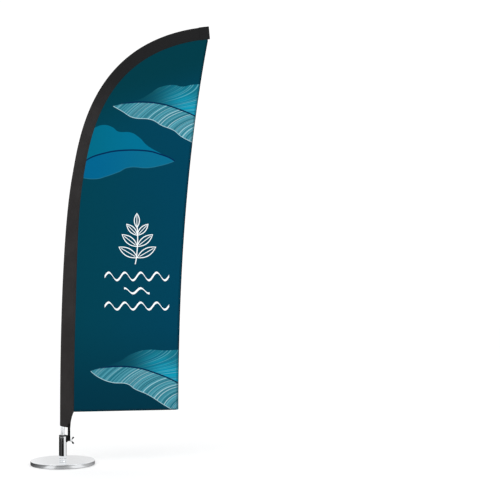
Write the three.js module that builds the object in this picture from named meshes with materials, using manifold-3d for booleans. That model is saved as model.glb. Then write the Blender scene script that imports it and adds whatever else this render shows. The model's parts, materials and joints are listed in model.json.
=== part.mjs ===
// Feather flag on a round weighted base, in millimetres, +Z up.
// The pole stands on the Z axis, the flag lies in the XZ plane and reaches towards +X,
// and the origin is on the floor under the pole.
// A chrome base holds a fixed axle; a socket tube turns on it in two ball bearings; the pole
// drops into the socket, a wing screw clamps it, and the flag's sleeve bends the pole.
import * as THREE from "three";
import { mergeVertices } from "three/addons/utils/BufferGeometryUtils.js";
import Module from "manifold-3d";

const wasm = await Module();
wasm.setup();

// ---------------------------------------------------------------- driving dimensions
const FIT = 0.3; // running and seating gap between separate pieces

// Base
const BASE_RADIUS = 200;
const BASE_SIDES = 56; // flats round the rim
const BASE_HEIGHT = 28;
const COVER_WALL = 1.5;
const COVER_SHOULDER = 4; // radius of the cover's rounded edge
const COVER_LIFT = 2.5; // the cover's rim stays this far off the floor
const SEAT_RADIUS = 27; // raised seat under the axle
const SEAT_HEIGHT = 0.6;
const PAD_INSET = 12; // from the cover's inner wall to the rubber pad's edge
const PAD_HEIGHT = 5;
const POCKET_INNER = 50; // lightening pocket under the ballast
const POCKET_INSET = 48; // from the cover's inner wall to the pocket
const POCKET_DEPTH = 9;
const BOLT_RADIUS = 6;
const BOLT_GRIP = 22; // thread length inside the axle
const BOLT_HEAD_FLATS = 19;
const BOLT_HEAD_HEIGHT = 7.5;
const WASHER_RADIUS = 16;
const WASHER_HEIGHT = 2.5;

// Axle and bearings
const BOSS_HEIGHT = 10;
const AXLE_RADIUS = 8.5;
const SHOULDER_RADIUS = 11;
const SHOULDER_HEIGHT = 8; // from the boss up to the lower bearing
const BEARING_HEIGHT = 12;
const INNER_RING_WALL = 3.4;
const OUTER_RING_WALL = 3.4;
const BEARING_SPACING = 28; // clear height between the two bearings
const BALL_RADIUS = 3.375;
const BALL_COUNT = 8;
const CAGE_HEIGHT = 2.6;
const CAGE_WALL = 1.8;
const AXLE_NUT_FLATS = 24;
const AXLE_NUT_HEIGHT = 8;
const AXLE_END = 2; // axle above the nut
const CLIP_THICKNESS = 1.6;
const CLIP_BITE = 0.6; // how deep a clip sits in the tube's groove
const CLIP_WIDTH = 2.6;
const CLIP_GAP = THREE.MathUtils.degToRad(40);

// Socket tube and its nylon socket
const TUBE_RADIUS = 24;
const TUBE_WALL = 4;
const TUBE_CLEARANCE = 1; // between the turning tube and the fixed boss
const AXLE_CLEARANCE = 3.4; // between the axle's end and the socket above it
const SOCKET_FLANGE = 8;
const SOCKET_FLOOR = 5;
const SOCKET_DEPTH = 67;
const LUG_DEPTH = 5.7; // the screw lug, from the tube outward
const LUG_HALF_WIDTH = 10;
const LUG_BELOW_SCREW = 11.5;

// Wing screw
const SCREW_BELOW_TUBE_TOP = 25;
const SCREW_RADIUS = 4;
const SCREW_NUT_FLATS = 13;
const SCREW_NUT_HEIGHT = 4;
const SCREW_WASHER_RADIUS = 9;
const SCREW_WASHER_HEIGHT = 1.6;
const HUB_RADIUS = 7.5;
const HUB_LENGTH = 9;
const WING_THICKNESS = 4;
const WING_TIP_RADIUS = 6.5;
const WING_TIP_OUT = 16; // centre of a wing's round tip, from the hub's inner face
const WING_TIP_UP = 17.5; // and from the screw's axis

// Pole, four sections that plug into each other
const SECTION_RADII = [14, 11.7, 9.4, 7.1];
const SECTION_WALL = 2;
const TIP_RADIUS = 4.5;
const INSERTION = 90;
const COLLAR_LENGTH = 12;
const PLUG_FLANGE = 3;
const PLUG_SPIGOT = 15;
const TIP_CAP_RADIUS = 6.8;
const TIP_CAP_GRIP = 26;
const TIP_CAP_END = 6;

// Flag: reach is measured along X from the pole's foot, rise along Z from the sleeve's mouth,
// and lean is an angle from upright
const FABRIC = 1; // thickness of a sleeve wall and of the panel
const MOUTH_ABOVE_SOCKET = 60; // lowest point of the sleeve's outer edge
const MOUTH_HANDLE = 396;
const BEND_REACH = 58; // where the luff has left the upright and starts to curl
const BEND_RISE = 1556;
const BEND_LEAN = THREE.MathUtils.degToRad(10.1);
const BEND_HANDLES = [387, 258];
const TIP_REACH = 911;
const TIP_RISE = 2492;
const TIP_LEAN = THREE.MathUtils.degToRad(84.8);
const TIP_HANDLE = 734;
const TAIL_DROP = 13; // the sleeve's sewn edge ends this far below its outer edge
const SLEEVE_FLANGE = 16; // width where the two walls are sewn flat together
const SLEEVE_WIDTH_MOUTH = 64;
const SLEEVE_WIDTH_FOOT = 87;
const SLEEVE_WIDTH_SHOULDER = 70;
const SLEEVE_WIDTH_TIP = 77;
const SLEEVE_END_WALL = 4; // closed end beyond the tip cap
const PATCH_LENGTH = 62;
const PATCH_WALL = 1;
const FOOT_RISE = 85; // the cloth's foot at the sleeve
const FOOT_CORNER_REACH = 722;
const FOOT_CORNER_RISE = 98;
const LEECH_LEANS = [0.2, 10.7].map(THREE.MathUtils.degToRad); // at the foot and at the top
const LEECH_HANDLES = [568, 882];
const LEECH_SHORT = 12; // the leech ends this far before the sleeve's end
const LEECH_DROP = 7; // and this far below the seam
const HEM_WIDTH = 14;
const HEM_THICKNESS = 1.6;

// Tension strap, a loop of webbing over the screw
const STRAP_WIDTH = 16;
const STRAP_THICKNESS = 1.4;
const STRAP_JOIN = 50; // the loop's two layers meet this far above the screw

// ---------------------------------------------------------------- heights and radii that follow
const TUBE_BORE = TUBE_RADIUS - TUBE_WALL;
const BEARING_OUTER = TUBE_BORE; // the bearings fill the tube
const COVER_TOP = BASE_HEIGHT;
const BOSS_TOP = COVER_TOP + SEAT_HEIGHT + BOSS_HEIGHT;
const LOWER_BEARING_Z = BOSS_TOP + SHOULDER_HEIGHT;
const UPPER_BEARING_Z = LOWER_BEARING_Z + BEARING_HEIGHT + BEARING_SPACING;
const AXLE_NUT_Z = UPPER_BEARING_Z + BEARING_HEIGHT;
const AXLE_TOP = AXLE_NUT_Z + AXLE_NUT_HEIGHT + AXLE_END;
const TUBE_BOTTOM = BOSS_TOP + TUBE_CLEARANCE;
const POLE_Z = AXLE_TOP + AXLE_CLEARANCE + SOCKET_FLOOR; // the pole's foot stands here
const SOCKET_TOP = POLE_Z + SOCKET_DEPTH;
const TUBE_TOP = SOCKET_TOP - SOCKET_FLANGE;
const MOUTH_Z = SOCKET_TOP + MOUTH_ABOVE_SOCKET;
const TAIL_Z = MOUTH_Z - TAIL_DROP;
const SCREW_Z = TUBE_TOP - SCREW_BELOW_TUBE_TOP;
const LUG_REACH = TUBE_RADIUS + FIT + LUG_DEPTH; // outer face of the lug, from the axis
const STRAP_X = LUG_REACH + 2 * FIT;
const WASHER_X = STRAP_X + STRAP_WIDTH + 2 * FIT;
const HUB_X = WASHER_X + SCREW_WASHER_HEIGHT;
const BALL_PITCH = (AXLE_RADIUS + FIT + INNER_RING_WALL + BEARING_OUTER - FIT - OUTER_RING_WALL) / 2;

// ---------------------------------------------------------------- building blocks
const AXIS_X = new THREE.Vector3(1, 0, 0);
const AXIS_Y = new THREE.Vector3(0, 1, 0);
const AXIS_Z = new THREE.Vector3(0, 0, 1);

// A three.js geometry as a manifold-3d solid.
function solid(geometry) {
  const bare = geometry.index ? geometry.toNonIndexed() : geometry.clone();
  const places = new THREE.BufferGeometry();
  places.setAttribute("position", bare.getAttribute("position"));
  const merged = mergeVertices(places, 1e-4);
  return new wasm.Manifold(
    new wasm.Mesh({
      numProp: 3,
      vertProperties: merged.attributes.position.array,
      triVerts: new Uint32Array(merged.index.array),
    }),
  );
}

// A manifold-3d solid as a three.js geometry.
function geometryOf(made) {
  const data = made.getMesh();
  const geometry = new THREE.BufferGeometry();
  geometry.setAttribute("position", new THREE.BufferAttribute(data.vertProperties, 3));
  geometry.setIndex(new THREE.BufferAttribute(data.triVerts, 1));
  return geometry.toNonIndexed();
}

// A solid of revolution about Z from [radius, z] pairs that run up the outside.
function turned(profile, segments = 36) {
  const points = profile.map(([radius, z]) => new THREE.Vector2(radius, z));
  return new THREE.LatheGeometry(points, segments).rotateX(Math.PI / 2);
}

// A ring or washer about Z.
function ring(inner, outer, bottom, top, segments = 36) {
  const profile = [[inner, bottom], [outer, bottom], [outer, top], [inner, top], [inner, bottom]];
  return turned(profile, segments);
}

// A round bar about Z.
function bar(radius, bottom, top, segments = 24) {
  return turned([[0, bottom], [radius, bottom], [radius, top], [0, top]], segments);
}

// A round bar along X at the screw's height.
function screwBar(radius, from, to, segments = 18) {
  return bar(radius, from, to, segments).rotateY(Math.PI / 2).translate(0, 0, SCREW_Z);
}

// A hexagonal prism about Z, by its width across flats.
function hexagon(flats, bottom, top) {
  return bar(flats / Math.sqrt(3), bottom, top, 6);
}

// A shape drawn in (x, z) given a thickness in Y, centred on the flag's plane.
function plate(shape, thickness, curveSegments = 12) {
  const geometry = new THREE.ExtrudeGeometry(shape, {
    depth: thickness,
    bevelEnabled: false,
    curveSegments,
  });
  const turn = new THREE.Matrix4().makeBasis(AXIS_X, AXIS_Z, AXIS_Y.clone().negate());
  return geometry.applyMatrix4(turn).translate(0, thickness / 2, 0);
}

// A shape drawn in (y, z) extruded along X.
function extrudeAlongX(shape, from, to, curveSegments = 8) {
  const geometry = new THREE.ExtrudeGeometry(shape, {
    depth: to - from,
    bevelEnabled: false,
    curveSegments,
  });
  const turn = new THREE.Matrix4().makeBasis(AXIS_Y, AXIS_Z, AXIS_X);
  return geometry.applyMatrix4(turn).translate(from, 0, 0);
}

// A closed skin through matching rings of points, with flat ends.
function loft(rings) {
  const count = rings[0].length;
  const triangles = [];
  for (let i = 0; i + 1 < rings.length; i++) {
    for (let k = 0; k < count; k++) {
      const next = (k + 1) % count;
      const corners = [rings[i][k], rings[i][next], rings[i + 1][next], rings[i + 1][k]];
      triangles.push([corners[0], corners[1], corners[2]], [corners[0], corners[2], corners[3]]);
    }
  }
  const last = rings.length - 1;
  for (const [a, b, c] of rings.flatCap) {
    triangles.push([rings[0][c], rings[0][b], rings[0][a]]);
    triangles.push([rings[last][a], rings[last][b], rings[last][c]]);
  }
  const geometry = new THREE.BufferGeometry().setFromPoints(triangles.flat());
  return geometry;
}

// ---------------------------------------------------------------- the flag's luff, the curve it hangs on
// The outer edge of the sleeve: straight up from the pole's foot, then two Bezier arcs to the tip.
// Its distance along the curve, s, is measured from the pole's foot.
const NOSE_FOOT = 17.7; // the pole's axis lies this far inside the luff at its foot
const NOSE_TAPER = 7.4; // and this much less at its tip
const flat = (x, z) => new THREE.Vector3(x, 0, z);
const leaning = (lean, length) => flat(length * Math.sin(lean), length * Math.cos(lean));
const mouth = flat(-NOSE_FOOT, MOUTH_Z);
const bend = flat(BEND_REACH, MOUTH_Z + BEND_RISE);
const tip = flat(TIP_REACH, MOUTH_Z + TIP_RISE);
const luff = new THREE.CurvePath();
luff.add(new THREE.LineCurve3(flat(-NOSE_FOOT, POLE_Z), mouth));
luff.add(
  new THREE.CubicBezierCurve3(
    mouth,
    mouth.clone().add(leaning(0, MOUTH_HANDLE)),
    bend.clone().sub(leaning(BEND_LEAN, BEND_HANDLES[0])),
    bend,
  ),
);
luff.add(
  new THREE.CubicBezierCurve3(
    bend,
    bend.clone().add(leaning(BEND_LEAN, BEND_HANDLES[1])),
    tip.clone().sub(leaning(TIP_LEAN, TIP_HANDLE)),
    tip,
  ),
);
const luffLengths = luff.curves.map((curve) => curve.getLength());
const LUFF_LENGTH = luffLengths.reduce((sum, length) => sum + length, 0);
const MOUTH_S = luffLengths[0];
const CAP_END_S = LUFF_LENGTH - SLEEVE_END_WALL - FIT;
const POLE_END_S = CAP_END_S - TIP_CAP_END;
const JOINTS_S = [1, 2, 3].map((k) => (POLE_END_S * k) / 4);

// The place on the luff at s, and the direction from it into the flag. Past an end it runs straight on.
function luffFrame(s) {
  const inside = THREE.MathUtils.clamp(s, 0, LUFF_LENGTH);
  let index = 0;
  let rest = inside;
  while (index < 2 && rest > luffLengths[index]) {
    rest -= luffLengths[index];
    index += 1;
  }
  const curve = luff.curves[index];
  const u = Math.min(1, rest / luffLengths[index]);
  const along = curve.getTangentAt(u);
  const place = curve.getPointAt(u).addScaledVector(along, s - inside);
  return { place, along, inward: flat(along.z, -along.x) };
}

const smooth = (from, to, value) => THREE.MathUtils.smoothstep(value, from, to);

// The distance from the luff to the pole's axis.
const poleInset = (s) => NOSE_FOOT - (NOSE_TAPER * THREE.MathUtils.clamp(s, 0, POLE_END_S)) / POLE_END_S;

// The sleeve's width from the luff to the seam: narrow at the mouth and at the shoulder.
function sleeveWidth(s) {
  const footS = MOUTH_S + FOOT_RISE;
  const tail = THREE.MathUtils.mapLinear(s, MOUTH_S, footS, SLEEVE_WIDTH_MOUTH, SLEEVE_WIDTH_FOOT);
  if (s < footS) return tail;
  const toShoulder = smooth(0.28 * LUFF_LENGTH, 0.58 * LUFF_LENGTH, s);
  const toTip = smooth(0.62 * LUFF_LENGTH, 0.92 * LUFF_LENGTH, s);
  const shoulder = THREE.MathUtils.lerp(SLEEVE_WIDTH_FOOT, SLEEVE_WIDTH_SHOULDER, toShoulder);
  return THREE.MathUtils.lerp(shoulder, SLEEVE_WIDTH_TIP, toTip);
}

// Every piece along the luff has its rings at these places, so nested tubes never cut into each other.
const patchStart = LUFF_LENGTH - PATCH_LENGTH;
const stations = (() => {
  const piecesEnds = [
    0, PLUG_FLANGE, MOUTH_S - 20, MOUTH_S, MOUTH_S + FOOT_RISE, patchStart,
    POLE_END_S - TIP_CAP_GRIP, POLE_END_S, CAP_END_S, CAP_END_S + FIT, LUFF_LENGTH,
    ...JOINTS_S.flatMap((s) => [s - INSERTION, s, s + COLLAR_LENGTH]),
  ];
  const STEP = 10;
  const MOST_STRAIGHT = 170;
  const MOST_TURN = THREE.MathUtils.degToRad(4.2);
  const regular = [0];
  for (let s = STEP; s < LUFF_LENGTH; s += STEP) {
    const before = luffFrame(regular.at(-1));
    const turnSince = before.along.angleTo(luffFrame(s).along);
    if (turnSince > MOST_TURN || s - regular.at(-1) >= MOST_STRAIGHT) regular.push(s);
  }
  const spread = regular.filter((s) => piecesEnds.every((end) => Math.abs(end - s) > STEP));
  return [...piecesEnds, ...spread].sort((a, b) => a - b);
})();

// A loft along the luff: outlineAt(s) gives [distance inward, y] points, always as many of them.
function alongLuff(from, to, outlineAt) {
  const inside = stations.filter((s) => s > from + 1e-6 && s < to - 1e-6);
  const rings = [from, ...inside, to].map((s) => {
    const { place, inward } = luffFrame(s);
    return outlineAt(s).map(([d, y]) => place.clone().addScaledVector(inward, d).setY(y));
  });
  const section = outlineAt(from).map(([d, y]) => new THREE.Vector2(d, y));
  rings.flatCap = THREE.ShapeUtils.triangulateShape(section, []);
  return solid(loft(rings));
}

// A circle about the pole's axis.
const POLE_SIDES = 12;
function poleCircle(radiusAt) {
  return (s) =>
    Array.from({ length: POLE_SIDES }, (_, k) => {
      const angle = (2 * Math.PI * k) / POLE_SIDES;
      return [poleInset(s) + radiusAt(s) * Math.cos(angle), radiusAt(s) * Math.sin(angle)];
    });
}

// The teardrop outline of the sleeve: round about the pole, then straight to the sewn flange.
// Its edge is drawn on one side from the nose on, and mirrored.
const NOSE_STEPS = 4;
function teardrop(s, radius, tail) {
  const nose = poleInset(s);
  const leaving = Math.acos(Math.min(0.8, nose / (sleeveWidth(s) - SLEEVE_FLANGE - nose)));
  const upper = Array.from({ length: NOSE_STEPS + 1 }, (_, k) => {
    const angle = THREE.MathUtils.lerp(Math.PI, leaving, k / NOSE_STEPS);
    return [nose + radius * Math.cos(angle), radius * Math.sin(angle)];
  }).concat(tail);
  const lower = upper.slice(1).map(([d, y]) => [d, -y]);
  return [...lower, ...upper.slice(1).reverse(), [nose - radius, 0]];
}
const sleeveOutline = (grow) => (s) => {
  const width = sleeveWidth(s);
  const half = FABRIC + grow;
  return teardrop(s, poleInset(s) + grow, [[width - SLEEVE_FLANGE, half], [width + grow, half]]);
};
const sleeveHollow = (s) =>
  teardrop(s, poleInset(s) - FABRIC, [[sleeveWidth(s) - SLEEVE_FLANGE - 2 * FABRIC, FIT / 2]]);

// ---------------------------------------------------------------- materials
const finish = (color, roughness, metalness) =>
  new THREE.MeshStandardMaterial({ color, roughness, metalness });
const materials = {
  chrome: finish(0xe2e4e6, 0.08, 1),
  castIron: finish(0x3a3a3c, 0.8, 0.6),
  steel: finish(0x9ea2a6, 0.35, 1),
  rubber: finish(0x17181a, 0.9, 0),
  nylon: finish(0x161617, 0.55, 0),
  aluminium: finish(0xd6d8da, 0.2, 1),
  fibreglass: finish(0x2a2c2e, 0.45, 0),
  sleeveFabric: finish(0x2b2a2b, 0.9, 0),
  printedFabric: finish(0x04475c, 0.85, 0),
  webbing: finish(0x0d0d0e, 0.8, 0),
};

const flag = new THREE.Group();
function add(name, geometry, material) {
  const mesh = new THREE.Mesh(geometry, material);
  mesh.name = name;
  flag.add(mesh);
}
const addSolid = (name, made, material) => add(name, geometryOf(made), material);

// ---------------------------------------------------------------- base
// Points of a quarter round from the wall up to the top face, for a disc of this radius and height.
function roundedEdge(radius, top, shoulder, steps = 4) {
  return Array.from({ length: steps + 1 }, (_, k) => {
    const angle = (Math.PI / 2) * (k / steps);
    return [radius - shoulder + shoulder * Math.cos(angle), top - shoulder + shoulder * Math.sin(angle)];
  });
}

function buildBase() {
  const holeRadius = BOLT_RADIUS + FIT;
  const innerRadius = BASE_RADIUS - COVER_WALL;
  add("floor_pad", bar(innerRadius - PAD_INSET, 0, PAD_HEIGHT, BASE_SIDES), materials.rubber);

  const innerTop = COVER_TOP - COVER_WALL;
  const innerShoulder = COVER_SHOULDER - COVER_WALL;
  const outside = roundedEdge(BASE_RADIUS, COVER_TOP, COVER_SHOULDER);
  const inside = roundedEdge(innerRadius, innerTop, innerShoulder).reverse();
  const coverProfile = [
    [innerRadius, COVER_LIFT],
    [BASE_RADIUS, COVER_LIFT],
    ...outside,
    [SEAT_RADIUS + 1, COVER_TOP],
    [SEAT_RADIUS, COVER_TOP + SEAT_HEIGHT],
    [holeRadius, COVER_TOP + SEAT_HEIGHT],
    [holeRadius, innerTop],
    ...inside,
    [innerRadius, COVER_LIFT],
  ];
  add("base_cover", turned(coverProfile, BASE_SIDES), materials.chrome);

  const slabTop = innerTop - FIT;
  const counterboreTop = PAD_HEIGHT + BOLT_HEAD_HEIGHT + WASHER_HEIGHT + FIT;
  const slabProfile = [
    [WASHER_RADIUS + FIT, PAD_HEIGHT],
    [POCKET_INNER, PAD_HEIGHT],
    [POCKET_INNER, PAD_HEIGHT + POCKET_DEPTH],
    [innerRadius - POCKET_INSET, PAD_HEIGHT + POCKET_DEPTH],
    [innerRadius - POCKET_INSET, PAD_HEIGHT],
    [innerRadius - FIT, PAD_HEIGHT],
    ...roundedEdge(innerRadius - FIT, slabTop, innerShoulder - FIT, 2),
    [holeRadius, slabTop],
    [holeRadius, counterboreTop],
    [WASHER_RADIUS + FIT, counterboreTop],
    [WASHER_RADIUS + FIT, PAD_HEIGHT],
  ];
  add("ballast_slab", turned(slabProfile, BASE_SIDES / 2), materials.castIron);

  const headBottom = PAD_HEIGHT + FIT;
  const headTop = headBottom + BOLT_HEAD_HEIGHT;
  const boltTop = COVER_TOP + SEAT_HEIGHT + BOLT_GRIP;
  const shank = solid(bar(BOLT_RADIUS, headBottom, boltTop, 16));
  const bolt = solid(hexagon(BOLT_HEAD_FLATS, headBottom, headTop)).add(shank);
  addSolid("base_bolt", bolt, materials.steel);
  const washer = ring(holeRadius, WASHER_RADIUS, headTop, headTop + WASHER_HEIGHT, BASE_SIDES / 2);
  add("bolt_washer", washer, materials.steel);
}

// ---------------------------------------------------------------- axle and bearings
function buildBearing(name, bottom) {
  const top = bottom + BEARING_HEIGHT;
  const middle = bottom + BEARING_HEIGHT / 2;
  const innerBore = AXLE_RADIUS + FIT;
  const outerFace = BEARING_OUTER - FIT;
  const track = new THREE.TorusGeometry(BALL_PITCH, BALL_RADIUS + 2 * FIT, 8, 24);
  const trackSolid = solid(track.translate(0, 0, middle));
  const innerRing = solid(ring(innerBore, innerBore + INNER_RING_WALL, bottom, top, 24));
  const outerRing = solid(ring(outerFace - OUTER_RING_WALL, outerFace, bottom, top, 24));
  addSolid(name + "_bearing_inner_ring", innerRing.subtract(trackSolid), materials.steel);
  addSolid(name + "_bearing_outer_ring", outerRing.subtract(trackSolid), materials.steel);

  const cageInner = BALL_PITCH - CAGE_WALL / 2;
  const cageBottom = middle - CAGE_HEIGHT / 2;
  let cage = solid(ring(cageInner, cageInner + CAGE_WALL, cageBottom, cageBottom + CAGE_HEIGHT, 24));
  for (let k = 0; k < BALL_COUNT; k++) {
    const angle = (2 * Math.PI * k) / BALL_COUNT;
    const ball = new THREE.SphereGeometry(BALL_RADIUS, 8, 5);
    ball.translate(BALL_PITCH * Math.cos(angle), BALL_PITCH * Math.sin(angle), middle);
    cage = cage.add(solid(ball));
  }
  addSolid(name + "_ball_cage", cage, materials.steel);
}

function buildAxle() {
  const seat = COVER_TOP + SEAT_HEIGHT;
  const threadTop = seat + BOLT_GRIP + FIT;
  const profile = [
    [0, threadTop],
    [BOLT_RADIUS + FIT, threadTop],
    [BOLT_RADIUS + FIT, seat],
    [TUBE_RADIUS, seat],
    [TUBE_RADIUS, BOSS_TOP],
    [SHOULDER_RADIUS, BOSS_TOP],
    [SHOULDER_RADIUS, LOWER_BEARING_Z],
    [AXLE_RADIUS, LOWER_BEARING_Z],
    [AXLE_RADIUS, AXLE_TOP],
    [0, AXLE_TOP],
  ];
  add("axle", turned(profile, 48), materials.chrome);

  const sealBottom = BOSS_TOP + FIT;
  const sealTop = LOWER_BEARING_Z - CLIP_THICKNESS - 2 * FIT;
  const seal = ring(SHOULDER_RADIUS + FIT, TUBE_BORE - FIT, sealBottom, sealTop, 24);
  add("dust_seal", seal, materials.rubber);

  buildBearing("lower", LOWER_BEARING_Z);
  buildBearing("upper", UPPER_BEARING_Z);

  const spacerBottom = LOWER_BEARING_Z + BEARING_HEIGHT;
  const innerBore = AXLE_RADIUS + FIT;
  const innerSpacer = ring(innerBore, innerBore + INNER_RING_WALL, spacerBottom, UPPER_BEARING_Z, 24);
  add("inner_ring_spacer", innerSpacer, materials.steel);
  const outerFace = BEARING_OUTER - FIT;
  const outerSpacer = ring(outerFace - OUTER_RING_WALL + 1, outerFace, spacerBottom, UPPER_BEARING_Z, 24);
  add("outer_ring_spacer", outerSpacer, materials.steel);

  const bore = solid(bar(innerBore, AXLE_NUT_Z - 1, AXLE_TOP + 1));
  const nut = solid(hexagon(AXLE_NUT_FLATS, AXLE_NUT_Z, AXLE_NUT_Z + AXLE_NUT_HEIGHT)).subtract(bore);
  addSolid("axle_nut", nut, materials.steel);
}

// ---------------------------------------------------------------- socket that turns with the flag
// The tube's inside grooves, one below the lower bearing and one above the upper.
const CLIP_BOTTOMS = [LOWER_BEARING_Z - CLIP_THICKNESS, UPPER_BEARING_Z + BEARING_HEIGHT];

function buildClips() {
  const outer = TUBE_BORE + CLIP_BITE;
  const inner = outer - CLIP_WIDTH;
  const shape = new THREE.Shape();
  shape.absarc(0, 0, outer, CLIP_GAP / 2, 2 * Math.PI - CLIP_GAP / 2, false);
  shape.absarc(0, 0, inner, 2 * Math.PI - CLIP_GAP / 2, CLIP_GAP / 2, true);
  ["lower_circlip", "upper_circlip"].forEach((name, k) => {
    const clip = new THREE.ExtrudeGeometry(shape, {
      depth: CLIP_THICKNESS,
      bevelEnabled: false,
      curveSegments: 12,
    });
    add(name, clip.translate(0, 0, CLIP_BOTTOMS[k]), materials.steel);
  });
}

function buildTube() {
  let tube = solid(ring(TUBE_BORE, TUBE_RADIUS, TUBE_BOTTOM, TUBE_TOP, 48));
  for (const bottom of CLIP_BOTTOMS) {
    const top = bottom + CLIP_THICKNESS + FIT;
    const groove = ring(TUBE_BORE - 1, TUBE_BORE + CLIP_BITE + FIT, bottom - FIT, top, 48);
    tube = tube.subtract(solid(groove));
  }
  tube = tube.subtract(solid(screwBar(SCREW_RADIUS + 2 * FIT, 0, TUBE_RADIUS + 1)));
  addSolid("socket_tube", tube, materials.chrome);
}

function buildPoleSocket() {
  const bore = SECTION_RADII[0] + FIT;
  const body = TUBE_BORE - FIT;
  const lip = TUBE_RADIUS + FIT;
  const chamfer = 1.5;
  const profile = [
    [0, POLE_Z - SOCKET_FLOOR],
    [body, POLE_Z - SOCKET_FLOOR],
    [body, TUBE_TOP],
    [lip, TUBE_TOP],
    [lip, SOCKET_TOP - chamfer],
    [lip - chamfer, SOCKET_TOP],
    [bore + chamfer, SOCKET_TOP],
    [bore, SOCKET_TOP - chamfer],
    [bore, POLE_Z],
    [0, POLE_Z],
  ];
  const lugBottom = SCREW_Z - LUG_BELOW_SCREW;
  const lugTop = SOCKET_TOP - chamfer;
  const lugBox = new THREE.BoxGeometry(LUG_REACH - bore, 2 * LUG_HALF_WIDTH, lugTop - lugBottom);
  lugBox.translate((LUG_REACH + bore) / 2, 0, (lugTop + lugBottom) / 2);
  const tubeSpace = solid(bar(lip, lugBottom - 1, TUBE_TOP, 48));
  const poleSpace = solid(bar(bore, POLE_Z, SOCKET_TOP + 1, 48));
  const lug = solid(lugBox).subtract(tubeSpace).subtract(poleSpace);
  const screwHole = solid(screwBar(SCREW_RADIUS + FIT, bore - 2, LUG_REACH + 1));
  const nutPocket = solid(
    hexagon(SCREW_NUT_FLATS + 2 * FIT, lip - 1, lip + SCREW_NUT_HEIGHT + 2 * FIT)
      .rotateY(Math.PI / 2)
      .translate(0, 0, SCREW_Z),
  );
  const socket = solid(turned(profile, 48)).add(lug).subtract(screwHole).subtract(nutPocket);
  addSolid("pole_socket", socket, materials.nylon);

  const nutX = lip + FIT;
  const nut = solid(
    hexagon(SCREW_NUT_FLATS, nutX, nutX + SCREW_NUT_HEIGHT).rotateY(Math.PI / 2).translate(0, 0, SCREW_Z),
  );
  const thread = solid(screwBar(SCREW_RADIUS + FIT, nutX - 1, nutX + SCREW_NUT_HEIGHT + 1));
  addSolid("captive_nut", nut.subtract(thread), materials.steel);
}

// ---------------------------------------------------------------- wing screw
// One ear: a round tip joined to the hub by two straight flanks.
function wingShape(side) {
  const shape = new THREE.Shape();
  shape.moveTo(0, 0);
  shape.lineTo(HUB_LENGTH, 0);
  shape.lineTo(WING_TIP_OUT + WING_TIP_RADIUS, side * (WING_TIP_UP - 3));
  const start = side > 0 ? -0.3 * Math.PI : 0.3 * Math.PI;
  const end = side > 0 ? 0.85 * Math.PI : -0.85 * Math.PI;
  shape.absarc(WING_TIP_OUT, side * WING_TIP_UP, WING_TIP_RADIUS, start, end, side < 0);
  shape.closePath();
  return shape;
}

function buildWingScrew() {
  const shank = solid(screwBar(SCREW_RADIUS, SECTION_RADII[0] + FIT, HUB_X + 1));
  const hub = solid(screwBar(HUB_RADIUS, HUB_X, HUB_X + HUB_LENGTH, 24));
  let screw = shank.add(hub);
  for (const side of [1, -1]) {
    const wing = plate(wingShape(side), WING_THICKNESS, 8).translate(HUB_X, 0, SCREW_Z);
    screw = screw.add(solid(wing));
  }
  addSolid("wing_screw", screw, materials.chrome);

  const hole = solid(screwBar(SCREW_RADIUS + FIT, WASHER_X - 1, HUB_X + 1));
  const washer = solid(screwBar(SCREW_WASHER_RADIUS, WASHER_X, HUB_X, 24)).subtract(hole);
  addSolid("screw_washer", washer, materials.steel);
}

// ---------------------------------------------------------------- pole
function buildPole() {
  const plugFlange = alongLuff(0, PLUG_FLANGE, poleCircle(() => SECTION_RADII[0]));
  const spigotRadius = SECTION_RADII[0] - SECTION_WALL - FIT;
  const plugSpigot = alongLuff(0, PLUG_FLANGE + PLUG_SPIGOT, poleCircle(() => spigotRadius));
  addSolid("pole_foot_plug", plugFlange.add(plugSpigot), materials.nylon);

  SECTION_RADII.slice(0, 3).forEach((radius, k) => {
    const from = k === 0 ? PLUG_FLANGE : JOINTS_S[k - 1] - INSERTION;
    const outside = alongLuff(from, JOINTS_S[k], poleCircle(() => radius));
    const hollow = alongLuff(from - 1, JOINTS_S[k] + 1, poleCircle(() => radius - SECTION_WALL));
    const material = k === 0 ? materials.aluminium : materials.fibreglass;
    addSolid(`pole_section_${k + 1}`, outside.subtract(hollow), material);

    const collarEnd = JOINTS_S[k] + COLLAR_LENGTH;
    const collar = alongLuff(JOINTS_S[k], collarEnd, poleCircle(() => radius));
    const bore = alongLuff(JOINTS_S[k] - 1, collarEnd + 1, poleCircle(() => SECTION_RADII[k + 1] + FIT));
    addSolid(`joint_collar_${k + 1}`, collar.subtract(bore), materials.aluminium);
  });

  const rodRadius = (s) =>
    THREE.MathUtils.lerp(SECTION_RADII[3], TIP_RADIUS, smooth(JOINTS_S[2] + COLLAR_LENGTH, POLE_END_S, s));
  const rod = alongLuff(JOINTS_S[2] - INSERTION, POLE_END_S - FIT, poleCircle(rodRadius));
  addSolid("pole_section_4", rod, materials.fibreglass);

  const capStart = POLE_END_S - TIP_CAP_GRIP;
  const capOutside = alongLuff(capStart, CAP_END_S, poleCircle(() => TIP_CAP_RADIUS));
  const capBore = alongLuff(capStart - 1, POLE_END_S, poleCircle((s) => rodRadius(s) + FIT));
  addSolid("tip_cap", capOutside.subtract(capBore), materials.rubber);
}

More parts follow.
